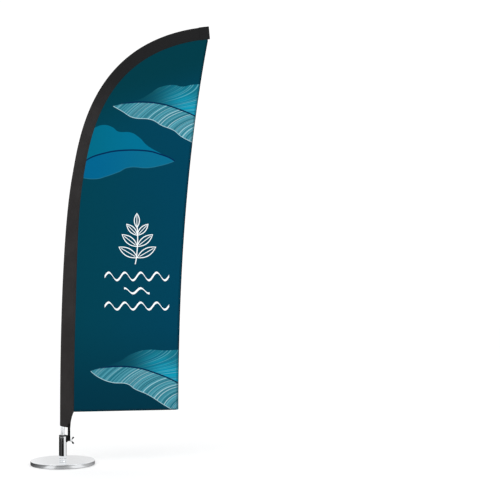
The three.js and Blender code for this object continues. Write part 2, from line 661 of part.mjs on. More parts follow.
// ---------------------------------------------------------------- flag
// The leech, the free edge, moved inward by a distance and run on past both ends.
const inPlane = (point) => new THREE.Vector2(point.x, point.z);
const footStart = new THREE.Vector2(-NOSE_FOOT + SLEEVE_WIDTH_FOOT, MOUTH_Z + FOOT_RISE);
const footCorner = new THREE.Vector2(FOOT_CORNER_REACH, MOUTH_Z + FOOT_CORNER_RISE);
const leech = (() => {
  const end = luffFrame(LUFF_LENGTH - LEECH_SHORT);
  const top = inPlane(end.place.addScaledVector(end.inward, SLEEVE_WIDTH_TIP + LEECH_DROP));
  const lowerHandle = footCorner.clone().add(inPlane(leaning(LEECH_LEANS[0], LEECH_HANDLES[0])));
  const upperHandle = top.clone().sub(inPlane(leaning(LEECH_LEANS[1], LEECH_HANDLES[1])));
  return new THREE.CubicBezierCurve(footCorner, lowerHandle, upperHandle, top);
})();
function leechPoints(inward, runOn = 0, steps = 16) {
  return Array.from({ length: steps + 1 }, (_, k) => {
    const along = leech.getTangentAt(k / steps);
    const across = new THREE.Vector2(-along.y, along.x);
    const point = leech.getPointAt(k / steps).addScaledVector(across, inward);
    if (k === 0) point.addScaledVector(along, -runOn);
    if (k === steps) point.addScaledVector(along, runOn);
    return point;
  });
}

// Everything on the sleeve's side of the leech.
function insideLeech(inward) {
  const edge = leechPoints(inward, 100);
  const left = -2 * SLEEVE_WIDTH_FOOT;
  const corners = [edge.at(-1), edge[0]].map((end) => new THREE.Vector2(left, end.y));
  return new THREE.Shape([...edge, ...corners]);
}

// Everything above the foot edge, which runs from the sleeve's seam to the leech.
function aboveFoot(up) {
  const along = footCorner.clone().sub(footStart).normalize();
  const shift = new THREE.Vector2(-along.y, along.x).multiplyScalar(up);
  const left = footStart.clone().addScaledVector(along, -300).add(shift);
  const right = footCorner.clone().addScaledVector(along, TIP_REACH).add(shift);
  const top = 1.2 * tip.z;
  return new THREE.Shape([left, right, new THREE.Vector2(right.x, top), new THREE.Vector2(left.x, top)]);
}

function buildFlag() {
  const sleeveStart = MOUTH_S - 20;
  const outside = alongLuff(sleeveStart, LUFF_LENGTH, sleeveOutline(0));
  const hollow = alongLuff(sleeveStart - 1, CAP_END_S + FIT, sleeveHollow);
  const mouthCut = new THREE.Shape();
  const below = MOUTH_Z - 60;
  mouthCut.moveTo(-60, below);
  mouthCut.lineTo(2 * SLEEVE_WIDTH_MOUTH, below);
  mouthCut.lineTo(2 * SLEEVE_WIDTH_MOUTH, TAIL_Z);
  mouthCut.lineTo(STRAP_X - 2, TAIL_Z);
  mouthCut.lineTo(-NOSE_FOOT, MOUTH_Z);
  mouthCut.lineTo(-60, MOUTH_Z);
  const cut = solid(plate(mouthCut, 80));
  addSolid("pole_sleeve", outside.subtract(hollow).subtract(cut), materials.sleeveFabric);

  const patchOuter = alongLuff(patchStart, LUFF_LENGTH + FIT + PATCH_WALL, sleeveOutline(FIT + PATCH_WALL));
  const patchInner = alongLuff(patchStart - 1, LUFF_LENGTH + FIT, sleeveOutline(FIT));
  addSolid("tip_patch", patchOuter.subtract(patchInner), materials.sleeveFabric);

  // The cloth runs from the pole to the leech, and the sleeve and its patch cut it back to the seam.
  const behindSeam = stations
    .filter((s) => s > MOUTH_S + 20 && s < LUFF_LENGTH - 10)
    .map((s) => {
      const { place, inward } = luffFrame(s);
      return inPlane(place.addScaledVector(inward, poleInset(s)));
    });
  const cloth = new THREE.Shape([...leechPoints(0), ...behindSeam.toReversed()]);
  const sleeveSpace = alongLuff(sleeveStart, LUFF_LENGTH, sleeveOutline(FIT));
  const patchSpace = alongLuff(patchStart - FIT, LUFF_LENGTH + 2, sleeveOutline(2 * FIT + PATCH_WALL));
  const blank = (thickness) =>
    solid(plate(cloth, thickness)).intersect(solid(plate(aboveFoot(0), thickness + 1)));
  const seamed = (made) => made.subtract(sleeveSpace).subtract(patchSpace);
  const gap = HEM_WIDTH + FIT;
  const panel = blank(FABRIC)
    .intersect(solid(plate(aboveFoot(gap), 10)))
    .intersect(solid(plate(insideLeech(gap), 10)));
  const footHem = blank(HEM_THICKNESS).subtract(solid(plate(aboveFoot(HEM_WIDTH), 10)));
  const leechHem = blank(HEM_THICKNESS)
    .subtract(solid(plate(insideLeech(HEM_WIDTH), 10)))
    .intersect(solid(plate(aboveFoot(gap), 10)));
  addSolid("flag_panel", seamed(panel), materials.printedFabric);
  addSolid("foot_hem", seamed(footHem), materials.printedFabric);
  addSolid("leech_hem", seamed(leechHem), materials.printedFabric);
}

// ---------------------------------------------------------------- tension strap
// A loop under the screw whose two layers rise and meet below the sleeve.
function buildStrap() {
  const inner = SCREW_RADIUS + 2 * FIT;
  const outer = inner + STRAP_THICKNESS;
  const joinZ = SCREW_Z + STRAP_JOIN;
  const shape = new THREE.Shape();
  shape.moveTo(STRAP_THICKNESS, TAIL_Z - FIT);
  shape.lineTo(-STRAP_THICKNESS, TAIL_Z - FIT);
  shape.lineTo(-STRAP_THICKNESS, joinZ);
  shape.lineTo(-outer, SCREW_Z);
  shape.absarc(0, SCREW_Z, outer, Math.PI, 2 * Math.PI, false);
  shape.lineTo(STRAP_THICKNESS, joinZ);
  shape.closePath();
  const eye = new THREE.Path();
  eye.moveTo(0, joinZ - 4);
  eye.lineTo(-inner, SCREW_Z);
  eye.absarc(0, SCREW_Z, inner, Math.PI, 2 * Math.PI, false);
  eye.closePath();
  shape.holes.push(eye);
  add("tension_strap", extrudeAlongX(shape, STRAP_X, STRAP_X + STRAP_WIDTH), materials.webbing);
}

buildBase();
buildAxle();
buildClips();
buildTube();
buildPoleSocket();
buildWingScrew();
buildPole();
buildFlag();
buildStrap();

export default flag;
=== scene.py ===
"""The looks of a feather flag on a round chrome base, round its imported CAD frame. Metres, +Z up.

The flag lies in the XZ plane. Its outer edge, the luff, is a curve that scene and CAD share:
s is the distance along it from the pole's foot, and d the distance from it into the flag.
"""

import json
import math

import bmesh
import bpy
import numpy as np
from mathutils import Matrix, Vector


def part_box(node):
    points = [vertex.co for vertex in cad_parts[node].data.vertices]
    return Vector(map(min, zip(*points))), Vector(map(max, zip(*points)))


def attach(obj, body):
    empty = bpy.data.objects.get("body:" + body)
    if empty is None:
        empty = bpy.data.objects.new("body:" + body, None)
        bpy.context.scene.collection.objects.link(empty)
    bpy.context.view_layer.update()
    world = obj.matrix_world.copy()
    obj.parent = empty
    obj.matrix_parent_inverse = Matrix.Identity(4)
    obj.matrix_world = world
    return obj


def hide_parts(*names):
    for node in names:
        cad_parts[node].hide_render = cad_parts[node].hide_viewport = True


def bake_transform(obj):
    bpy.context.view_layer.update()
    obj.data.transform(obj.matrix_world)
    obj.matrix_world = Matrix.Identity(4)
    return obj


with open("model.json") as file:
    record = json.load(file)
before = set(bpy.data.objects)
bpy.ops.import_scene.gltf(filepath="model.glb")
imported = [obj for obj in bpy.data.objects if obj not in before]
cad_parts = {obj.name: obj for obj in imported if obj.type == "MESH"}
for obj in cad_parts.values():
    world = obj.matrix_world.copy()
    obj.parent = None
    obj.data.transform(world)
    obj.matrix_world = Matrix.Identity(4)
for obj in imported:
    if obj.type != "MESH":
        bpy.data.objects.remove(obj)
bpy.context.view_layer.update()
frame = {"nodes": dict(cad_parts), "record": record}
MM = 0.001


# ------------------------------------------------------------------ meshes
def new_piece(name, points, faces, material, sharp=None):
    """A mesh object, its faces turned outward. Edges sharper than this many degrees stay crisp."""
    mesh = bpy.data.meshes.new(name)
    mesh.from_pydata([tuple(map(float, p)) for p in points], [], faces)
    work = bmesh.new()
    work.from_mesh(mesh)
    bmesh.ops.remove_doubles(work, verts=work.verts, dist=1e-7)
    bmesh.ops.recalc_face_normals(work, faces=work.faces)
    work.to_mesh(mesh)
    work.free()
    mesh.polygons.foreach_set("use_smooth", [True] * len(mesh.polygons))
    mesh.materials.append(material)
    piece = bpy.data.objects.new(name, mesh)
    bpy.context.collection.objects.link(piece)
    if sharp:
        mesh.set_sharp_from_angle(angle=math.radians(sharp))
        crisp(piece)
    return piece


def crisp(piece):
    """Flat faces shade flat right up to their rounded edges."""
    piece.modifiers.new("crisp", "WEIGHTED_NORMAL").keep_sharp = True


def grid_faces(rows, columns, wrap=False):
    """Quads between rows of points. wrap joins each row's last point to its first."""
    faces = []
    for i in range(rows - 1):
        for k in range(columns if wrap else columns - 1):
            a, b = i * columns + k, i * columns + (k + 1) % columns
            faces.append((a, b, b + columns, a + columns))
    return faces


def capped(rows, count):
    """The faces of a closed body through rings of points, with a flat end at each side."""
    last = (rows - 1) * count
    return grid_faces(rows, count, wrap=True) + [
        tuple(range(count))[::-1], tuple(range(last, last + count))
    ]


def sheet_piece(name, rows, material, thickness, offset=0.0):
    """A sheet through rows of points, thickened. offset -1 grows it behind its points, 1 in front."""
    points = [p for row in rows for p in row]
    piece = new_piece(name, points, grid_faces(len(rows), len(rows[0])), material)
    thicken = piece.modifiers.new("thickness", "SOLIDIFY")
    thicken.thickness, thicken.offset = thickness, offset
    return piece


def eased(corners, radius, steps=4):
    """A closed profile with its corners rounded off. Corners on the axis stay."""
    corners = [np.array(c, float) for c in corners]
    points = []
    for before, corner, after in zip(corners[-1:] + corners, corners, corners[1:] + corners[:1]):
        if corner[0] == 0:
            points.append(corner)
            continue
        ends = []
        for other in (before, after):
            reach = other - corner
            length = np.linalg.norm(reach)
            ends.append(corner + reach * min(radius / length, 0.45))
        for t in np.linspace(0, 1, steps + 1):
            points.append((1 - t) ** 2 * ends[0] + 2 * t * (1 - t) * corner + t**2 * ends[1])
    return points


def turned(name, profile, material, segments=160, along_x_at=None, sharp=38):
    """A solid of revolution from a closed (radius, height) profile, about Z or about X at a height."""
    angles = np.linspace(0, 2 * math.pi, segments, endpoint=False)
    points = []
    for radius, height in profile:
        for angle in angles:
            side, out = radius * math.sin(angle), radius * math.cos(angle)
            if along_x_at is None:
                points.append((out, side, height))
            else:
                points.append((height, side, along_x_at + out))
    faces = grid_faces(len(profile), segments, wrap=True)
    last = (len(profile) - 1) * segments
    if profile[0][0] > 0:  # the profile is a ring's, so its last row meets its first
        faces += [(last + k, last + (k + 1) % segments, (k + 1) % segments, k)
                  for k in range(segments)]
    return new_piece(name, points, faces, material, sharp)


def joined(name, parts):
    """Several pieces of one material as one."""
    work = bmesh.new()
    for part in parts:
        work.from_mesh(part.data)
    mesh = bpy.data.meshes.new(name)
    work.to_mesh(mesh)
    work.free()
    mesh.materials.append(parts[0].data.materials[0])
    for part in parts:
        bpy.data.objects.remove(part)
    piece = bpy.data.objects.new(name, mesh)
    bpy.context.collection.objects.link(piece)
    crisp(piece)
    return piece


# ------------------------------------------------------------------ materials
def rgb(red, green, blue):
    """A colour in sRGB, 0 to 255, as linear RGBA."""
    shares = [c / 255 for c in (red, green, blue)]
    linear = [c / 12.92 if c <= 0.04045 else ((c + 0.055) / 1.055) ** 2.4 for c in shares]
    return (*linear, 1.0)


STUDIO_LIGHT = 1.33  # how much brighter than its own colour the studio shows a cloth


def shown(red, green, blue):
    """The dye that the studio's light shows as this sRGB colour."""
    return (*(c / STUDIO_LIGHT for c in rgb(red, green, blue)[:3]), 1.0)


class Num:
    """A number that a material's nodes work out at each point. Arithmetic on it adds Math nodes."""

    def __init__(self, look, socket):
        self.look, self.socket = look, socket

    def math(self, operation, *others):
        node = self.look.add("ShaderNodeMath", operation=operation)
        for value, entry in zip((self, *others), node.inputs):
            self.look.feed(entry, value)
        return Num(self.look, node.outputs[0])

    def __add__(self, other):
        return self.math("ADD", other)

    def __sub__(self, other):
        return self.math("SUBTRACT", other)

    def __mul__(self, other):
        return self.math("MULTIPLY", other)

    def __abs__(self):
        return self.math("ABSOLUTE")

    def less_from(self, value):
        """value minus this."""
        return self * -1 + value

    def rise(self, low, high):
        """0 up to low, 1 from high, and smooth between. With low above high it falls."""
        node = self.look.add("ShaderNodeMapRange", interpolation_type="SMOOTHSTEP")
        flip = low > high
        self.look.feed(node.inputs["Value"], self)
        node.inputs["From Min"].default_value = min(low, high)
        node.inputs["From Max"].default_value = max(low, high)
        node.inputs["To Min"].default_value = 1.0 if flip else 0.0
        node.inputs["To Max"].default_value = 0.0 if flip else 1.0
        return Num(self.look, node.outputs[0])

    def within(self, half, blur):
        """1 where this is nearer 0 than half."""
        return abs(self).rise(half + blur, half)

    def curve(self, points):
        """A smooth curve through given (this, value) points, both in metres."""
        (low, high), (bottom, top) = [(min(v), max(v)) for v in zip(*points)]
        node = self.look.add("ShaderNodeFloatCurve")
        line = node.mapping.curves[0]
        places = [((x - low) / (high - low), (v - bottom) / (top - bottom)) for x, v in points]
        line.points[0].location, line.points[1].location = places[0], places[-1]
        for place in places[1:-1]:
            line.points.new(*place)
        node.mapping.update()
        self.look.feed(node.inputs["Value"], (self - low) * (1 / (high - low)))
        return Num(self.look, node.outputs[0]) * (top - bottom) + bottom


class Look:
    """A material on the Principled shader, with the piece's own coordinates as numbers."""

    def __init__(self, name, colour, roughness=0.5, metallic=0.0, **sockets):
        self.material = bpy.data.materials.new(name)
        self.material.use_nodes = True
        self.tree = self.material.node_tree
        self.shader = self.tree.nodes["Principled BSDF"]
        self.shader.inputs["Base Color"].default_value = colour
        self.shader.inputs["Roughness"].default_value = roughness
        self.shader.inputs["Metallic"].default_value = metallic
        for socket, value in sockets.items():
            self.shader.inputs[socket.replace("_", " ")].default_value = value
        self.place = self.add("ShaderNodeTexCoord").outputs["Object"]
        split = self.add("ShaderNodeSeparateXYZ")
        self.tree.links.new(self.place, split.inputs[0])
        self.x, self.y, self.z = (Num(self, socket) for socket in split.outputs)

    def add(self, kind, **settings):
        node = self.tree.nodes.new(kind)
        for name, value in settings.items():
            setattr(node, name, value)
        return node

    def feed(self, entry, value):
        if isinstance(value, Num):
            self.tree.links.new(value.socket, entry)
        elif hasattr(value, "is_output"):
            self.tree.links.new(value, entry)
        else:
            entry.default_value = value

    def noise(self, scale, detail=2.0, stretch=(1, 1, 1)):
        """Cloudy noise. stretch is how much finer it is along X, Y and Z."""
        scaled = self.add("ShaderNodeVectorMath", operation="MULTIPLY")
        scaled.inputs[1].default_value = stretch
        self.tree.links.new(self.place, scaled.inputs[0])
        node = self.add("ShaderNodeTexNoise")
        self.tree.links.new(scaled.outputs[0], node.inputs["Vector"])
        node.inputs["Scale"].default_value = scale
        node.inputs["Detail"].default_value = detail
        return Num(self, node.outputs[0])

    def lines(self, value, per_metre, detail=1.0):
        """Noise along one number: lines of uneven strength across it."""
        node = self.add("ShaderNodeTexNoise", noise_dimensions="1D")
        self.feed(node.inputs["W"], value * per_metre)
        node.inputs["Scale"].default_value = 1.0
        node.inputs["Detail"].default_value = detail
        return Num(self, node.outputs[0])

    def mix(self, factor, first, second):
        node = self.add("ShaderNodeMix", data_type="RGBA")
        self.feed(node.inputs[0], factor)
        self.feed(node.inputs[6], first)
        self.feed(node.inputs[7], second)
        return node.outputs[2]

    def paint(self, colour):
        self.tree.links.new(colour, self.shader.inputs["Base Color"])

    def polish(self, roughness):
        self.feed(self.shader.inputs["Roughness"], roughness)

    def bump(self, height, distance):
        node = self.add("ShaderNodeBump")
        self.feed(node.inputs["Height"], height)
        node.inputs["Distance"].default_value = distance
        self.tree.links.new(node.outputs[0], self.shader.inputs["Normal"])

    def weave(self, pitch, depth, slant=0.0):
        """The bump of a cloth: threads along Z and X, or slanting ribs for a twill."""
        turn = 2 * math.pi / pitch
        warp = ((self.x + self.z * slant) * turn).math("SINE")
        weft = (self.z * turn).math("SINE")
        self.bump(warp * 0.5 + weft * 0.35 + self.noise(900) * 0.6, depth)


def metal(name, colour, roughness, grain, depth):
    """A metal with fine brush marks or pits: grain is how fine they are along each axis."""
    look = Look(name, colour, roughness, 1.0)
    marks = look.noise(60, 4.0, grain)
    look.polish(marks * 0.12 + (roughness - 0.04))
    look.bump(marks, depth)
    return look.material


def chrome():
    """Polished plate: a trace of haze and fine wiping marks."""
    look = Look("chrome", rgb(232, 234, 236), 0.05, 1.0)
    look.polish(look.noise(14, 4.0) * 0.05 + look.noise(300, 2.0, (1, 0.1, 1)) * 0.03 + 0.01)
    return look.material


def moulded(name, colour, roughness, grain, depth):
    """Rubber or nylon with a fine spark-eroded texture."""
    look = Look(name, colour, roughness, Specular_IOR_Level=0.22)
    look.bump(look.noise(grain, 3.0), depth)
    look.polish(look.noise(30, 3.0) * 0.15 + (roughness - 0.07))
    return look.material


def cast_iron():
    look = Look("cast_iron", rgb(58, 58, 60), 0.8, 0.4)
    look.bump(look.noise(220, 6.0), 0.6 * MM)
    look.paint(look.mix(look.noise(18, 5.0).rise(0.35, 0.7), rgb(46, 46, 48), rgb(74, 70, 66)))
    return look.material


def sleeve_cloth():
    """Black woven polyester, with painted shade making it a little darker where it turns to the tip."""
    look = Look("sleeve_cloth", shown(50, 48, 48), 0.82, Sheen_Weight=0.04, Sheen_Roughness=0.45,
                Specular_IOR_Level=0.06)
    look.weave(1.4 * MM, 0.25 * MM, slant=0.6)
    slubs = look.noise(90, 2.0, (7, 7, 0.9)) * 0.4 + look.noise(9, 5.0) * 0.6
    worn = look.mix(slubs.rise(0.34, 0.68), shown(48, 46, 46), shown(57, 55, 55))
    # painted shade: the cloth darkens towards the tip
    look.paint(look.mix(look.z.rise(2.12, 2.45), worn, shown(36, 36, 37)))
    return look.material


def webbing():
    """Elastic webbing: ribs along it and fine picks across, with painted shade in the grooves between
    the ribs.
    """
    look = Look("webbing", rgb(12, 12, 13), 0.75, Sheen_Weight=0.03, Specular_IOR_Level=0.08)
    ribs = (look.x * (2 * math.pi / (1.9 * MM))).math("SINE")
    picks = (look.z * (2 * math.pi / (0.9 * MM))).math("SINE")
    look.bump(ribs * 0.6 + picks * 0.3, 0.25 * MM)
    # painted shade: darker in the grooves between the ribs, lighter on their crests
    look.paint(look.mix(ribs.rise(-1, 1), rgb(5, 5, 6), rgb(17, 17, 18)))
    return look.material


def thread(name, colour):
    look = Look(name, colour, 0.6, Sheen_Weight=0.04, Specular_IOR_Level=0.1)
    look.bump(look.noise(2500, 1.0), 0.1 * MM)
    return look.material


# ------------------------------------------------------------------ the print
# Leaf outlines as (x, z) points: the rib runs from the leaf's tip, between its two edges.
UPPER_LEAF = {
    "rib": [(0.315, 2.239), (0.42, 2.261), (0.52, 2.264), (0.61, 2.254), (0.70, 2.229), (0.88, 2.15)],
    "top": [(0.315, 2.239), (0.40, 2.262), (0.487, 2.286), (0.55, 2.322), (0.62, 2.362), (0.69, 2.372),
            (0.75, 2.362), (0.80, 2.372), (0.88, 2.378)],
    "bottom": [(0.315, 2.239), (0.37, 2.208), (0.44, 2.168), (0.55, 2.156), (0.62, 2.118), (0.69, 2.09),
               (0.74, 2.05), (0.81, 2.012), (0.88, 1.97)],
}
LOWER_LEAF = {
    "rib": [(0.174, 0.583), (0.26, 0.606), (0.37, 0.612), (0.46, 0.604), (0.55, 0.581), (0.74, 0.50)],
    "top": [(0.174, 0.583), (0.26, 0.613), (0.35, 0.643), (0.44, 0.695), (0.53, 0.717), (0.64, 0.713),
            (0.74, 0.72)],
    "bottom": [(0.174, 0.583), (0.24, 0.536), (0.31, 0.512), (0.40, 0.504), (0.45, 0.472), (0.53, 0.437),
               (0.63, 0.374), (0.74, 0.31)],
}
PLAIN_LEAF = {
    "rib": [(0.13, 1.885), (0.26, 1.945), (0.38, 1.963), (0.50, 1.962), (0.61, 1.938), (0.70, 1.896)],
    "top": [(0.13, 2.05), (0.20, 2.105), (0.26, 2.122), (0.31, 2.108), (0.35, 2.08), (0.42, 2.076),
            (0.47, 2.05), (0.53, 1.992), (0.61, 1.945), (0.70, 1.896)],
    "bottom": [(0.13, 1.79), (0.20, 1.784), (0.27, 1.80), (0.35, 1.828), (0.43, 1.858), (0.52, 1.853),
               (0.60, 1.865), (0.70, 1.896)],
}
INK_EDGE = 1.2 * MM  # how soft a printed edge is


def leaf_masks(look, leaf):
    """How much a point is in the leaf's upper and lower halves, and its height above the rib."""
    rib, top, bottom = (look.x.curve(leaf[edge]) for edge in ("rib", "top", "bottom"))
    over = look.z - rib
    ends = [x for x, _ in leaf["rib"]]
    along = look.x.rise(ends[0], ends[0] + INK_EDGE) * look.x.rise(ends[-1], ends[-1] - INK_EDGE)
    upper = over.rise(0, INK_EDGE) * (top - look.z).rise(0, INK_EDGE) * along
    lower = over.rise(0, -INK_EDGE) * (look.z - bottom).rise(0, INK_EDGE) * along
    rib_line = over.within(3.8 * MM, 1.8 * MM) * along
    border = (look.z - bottom).within(1.5 * MM, 1.5 * MM) * along
    return {"over": over, "upper": upper, "lower": lower, "rib": rib_line, "border": border}


def veined_leaf(look, ground, leaf):
    """A leaf with pale veins under its rib, and a bright upper half that fades out to its tip."""
    part = leaf_masks(look, leaf)
    over = part["over"]
    start = leaf["rib"][0][0]
    veins = look.x - over * 1.5 - over * over * 3.0
    broad = look.lines(veins, 42, 3.0).rise(0.35, 0.68)
    lower = look.mix(broad, shown(32, 118, 136), shown(78, 160, 178))
    spread = look.x.rise(start + 0.08, start + 0.36) * 0.6 + 0.4  # fainter towards the leaf's tip
    lower = look.mix(look.lines(veins, 150).rise(0.5, 0.7) * spread * 0.42, lower, shown(160, 218, 232))
    white = look.lines(veins + 3.7, 100).rise(0.64, 0.71) * spread
    lower = look.mix(white * 0.6, lower, shown(214, 244, 250))
    streaks = look.x - over * 2.0 + over * over * 4.0
    near_rib = over.rise(0.17, 0.03) * 0.75 + 0.25
    lit = look.x.rise(start + 0.22, start + 0.5) * near_rib
    upper = look.mix(lit, shown(28, 108, 122), shown(16, 168, 200))
    upper = look.mix(look.lines(streaks, 34, 3.0).rise(0.62, 0.3) * 0.55, upper, shown(6, 104, 134))
    shine = look.lines(streaks, 120).rise(0.52, 0.72) * look.x.rise(start + 0.2, start + 0.5)
    upper = look.mix(shine * 0.5, upper, shown(130, 216, 230))
    fade = look.x.rise(start + 0.08, start + 0.46) * 0.85 + 0.05
    colour = look.mix(part["upper"] * fade, ground, upper)
    colour = look.mix(part["lower"], colour, lower)
    colour = look.mix(part["border"] * 0.8, colour, shown(190, 230, 240))
    return look.mix(part["rib"] * look.x.rise(start, start + 0.12), colour, shown(2, 48, 82))


def plain_leaf(look, ground, leaf):
    """A flat blue leaf with a dark rib."""
    part = leaf_masks(look, leaf)
    upper = look.mix(look.x.rise(0.1, 0.5), shown(0, 110, 138), shown(0, 116, 152))
    lower = look.mix(look.x.rise(0.15, 0.6), shown(0, 104, 148), shown(8, 112, 148))
    colour = look.mix(part["upper"], ground, upper)
    colour = look.mix(part["lower"], colour, lower)
    colour = look.mix(part["border"] * 0.35, colour, shown(60, 150, 178))
    return look.mix(part["rib"], colour, shown(2, 44, 86))


def almond(look, centre, angle, half_length, half_width):
    """How far inside an almond-shaped leaf a point is, in metres, negative outside."""
    c, s = math.cos(angle), math.sin(angle)
    x, z = look.x - centre[0], look.z - centre[1]
    along, across = x * c + z * s, z * c - x * s
    reach = along * (1 / half_length)
    return (reach * reach).less_from(1) * half_width - abs(across), across, along


MOTIF_X = 0.463  # the middle of the white drawing


def white_motif(look):
    """A generic drawing in white line: a sprig of seven leaves over three brush waves."""
    stem_x = look.z.curve([(1.25, 0.452), (1.33, 0.464), (1.41, 0.468), (1.50, 0.463)])
    stem_ends = look.z.rise(1.25, 1.253) * look.z.rise(1.50, 1.497)
    ink = (look.x - stem_x).within(2.4 * MM, MM) * stem_ends
    leaves = [((0.463, 1.524), 90, 0.044)]
    for rank, (height, length) in enumerate([(1.292, 0.066), (1.362, 0.060), (1.432, 0.048)]):
        for side in (1, -1):
            lean = 30 + 8 * rank
            reach = math.radians(lean)
            middle = (0.466 + side * length * math.cos(reach), height + length * math.sin(reach))
            leaves.append((middle, lean if side > 0 else 180 - lean, length))
    for middle, angle, length in leaves:
        inside, across, along = almond(look, middle, math.radians(angle), length, 0.36 * length)
        outline = inside.within(2.2 * MM, MM)
        vein = across.within(1.5 * MM, MM) * along.within(0.75 * length, 2 * MM)
        ink = ink.math("MAXIMUM", outline.math("MAXIMUM", vein))
    for height, half, depth in [(1.175, 0.200, 0.024), (1.085, 0.078, 0.016), (0.99, 0.200, 0.022)]:
        phase = (look.x - MOTIF_X) * (2 * math.pi / 0.1)
        line = look.z - height - phase.math("SINE") * depth
        heavy = phase.math("COSINE") * 2.6 * MM + 6.4 * MM
        wave = (heavy - abs(line)).rise(0, MM) * (look.x - MOTIF_X).within(half, 3 * MM)
        ink = ink.math("MAXIMUM", wave)
    return ink


def printed_cloth(name, darker=0.0):
    """Knitted polyester, dyed right through: teal ground, three leaves and a white drawing."""
    look = Look(name, shown(0, 66, 88), 0.74, Sheen_Weight=0.01, Sheen_Roughness=0.4,
                Specular_IOR_Level=0.02)
    drift = look.noise(3, 2.0) * 0.25
    ground = look.mix((look.x + drift).rise(0.15, 1.0), shown(0, 68, 86), shown(0, 69, 95))
    ground = look.mix((look.z - look.x * 0.3).rise(1.95, 2.3), ground, shown(0, 62, 75))
    ground = look.mix(look.z.rise(0.95, 0.3), ground, shown(0, 56, 75))
    ground = veined_leaf(look, ground, UPPER_LEAF)
    ground = veined_leaf(look, ground, LOWER_LEAF)
    ground = plain_leaf(look, ground, PLAIN_LEAF)
    colour = look.mix(white_motif(look) * 0.97, ground, rgb(242, 246, 247))
    # painted shade: darker mixes the print towards near black, for the hems
    if darker:
        colour = look.mix(darker, colour, rgb(0, 12, 18))
    look.paint(colour)
    look.weave(1.3 * MM, 0.05 * MM)
    return look.material


CHROME = chrome()
STEEL = metal("steel", rgb(176, 179, 182), 0.3, (1, 1, 6), 0.02 * MM)
BRIGHT = metal("aluminium", rgb(236, 238, 240), 0.16, (8, 8, 0.2), 0.004 * MM)
IRON = cast_iron()
RUBBER = moulded("rubber", rgb(26, 26, 27), 0.85, 400, 0.1 * MM)
NYLON = moulded("nylon", rgb(12, 12, 13), 0.42, 900, 0.05 * MM)
FIBREGLASS = metal("fibreglass", rgb(44, 46, 48), 0.4, (6, 6, 0.3), 0.02 * MM)
SLEEVE_CLOTH = sleeve_cloth()
PRINT = printed_cloth("printed_cloth")
# painted shade: the hems' cloth is darkened, and their folds darker still
HEM_PRINT_SHADED = printed_cloth("hem_cloth_shaded", 0.22)
HEM_FOLD_SHADE = printed_cloth("hem_fold_shaded", 0.8)
WEBBING = webbing()
BLACK_THREAD = thread("black_thread", rgb(22, 22, 23))
TEAL_THREAD = thread("teal_thread", rgb(6, 62, 78))

SLOT_LOOKS = {
    "chrome": CHROME, "steel": STEEL, "aluminium": BRIGHT, "cast_iron": IRON, "rubber": RUBBER,
    "nylon": NYLON, "fibreglass": FIBREGLASS, "sleeve_fabric": SLEEVE_CLOTH,
    "printed_fabric": PRINT, "webbing": WEBBING,
}
for part in frame["record"]["subparts"]:
    node = frame["nodes"][part["node"]]
    for material_slot in node.material_slots:
        material_slot.material = SLOT_LOOKS[part["material_slot"]]


def place(piece, body, slot, *nodes):
    """The piece rides on a body and stands for these CAD nodes. Its slot is not used."""
    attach(piece, body)
    if nodes:
        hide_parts(*nodes)
    return piece


# ------------------------------------------------------------------ the luff, as in the CAD
NOSE_FOOT, NOSE_TAPER = 17.7 * MM, 7.4 * MM  # the sleeve's nose at the pole's foot, and its loss
FOOT_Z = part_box("pole_foot_plug")[0].z
MOUTH_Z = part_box("pole_socket")[1].z + 60 * MM
TAIL_DROP = 13 * MM
TAIL_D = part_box("tension_strap")[0].x - 2 * MM + NOSE_FOOT  # from here the mouth's cut is level
MOUTH_EASE = 60 * MM  # how far up the mouth's slant is felt
FLANGE = 16 * MM  # where the sleeve's two layers are sewn flat together
FOOT_RISE = 85 * MM  # from the mouth up to the cloth's foot
BEND_REACH, BEND_RISE, BEND_LEAN = 0.058, 1.556, 10.1  # leans in degrees from upright
TIP_REACH, TIP_RISE, TIP_LEAN = 0.911, 2.492, 84.8
MOUTH_HANDLE, BEND_HANDLES, TIP_HANDLE = 0.396, (0.387, 0.258), 0.734
POLE_SHORT = 10.3 * MM  # the pole ends this far before the luff does
SLEEVE_MOUTH, SLEEVE_FOOT, SLEEVE_SHOULDER, SLEEVE_TIP = 65.5, 87, 70, 77  # widths in mm


def leaning(degrees, length):
    lean = math.radians(degrees)
    return np.array([math.sin(lean), math.cos(lean)]) * length


def bezier(p0, p1, p2, p3, count=900):
    t = np.linspace(0, 1, count)[:, None]
    return (1 - t) ** 3 * p0 + 3 * t * (1 - t) ** 2 * p1 + 3 * t**2 * (1 - t) * p2 + t**3 * p3


class Path:
    """A curve in the XZ plane, by distance along it. Past its ends it runs straight on."""

    def __init__(self, points):
        steps = np.linalg.norm(np.diff(points, axis=0), axis=1)
        self.points = points
        self.at = np.concatenate([[0], np.cumsum(steps)])
        self.length = self.at[-1]
        slope = np.gradient(points, self.at, axis=0)
        self.slopes = slope / np.linalg.norm(slope, axis=1)[:, None]

    def frame(self, s):
        """The place at s, the direction along the curve, and the one to its right."""
        inside = min(max(s, 0), self.length)
        place, along = (
            np.array([np.interp(inside, self.at, values[:, k]) for k in (0, 1)])
            for values in (self.points, self.slopes)
        )
        along = along / np.linalg.norm(along)
        return place + along * (s - inside), along, np.array([along[1], -along[0]])


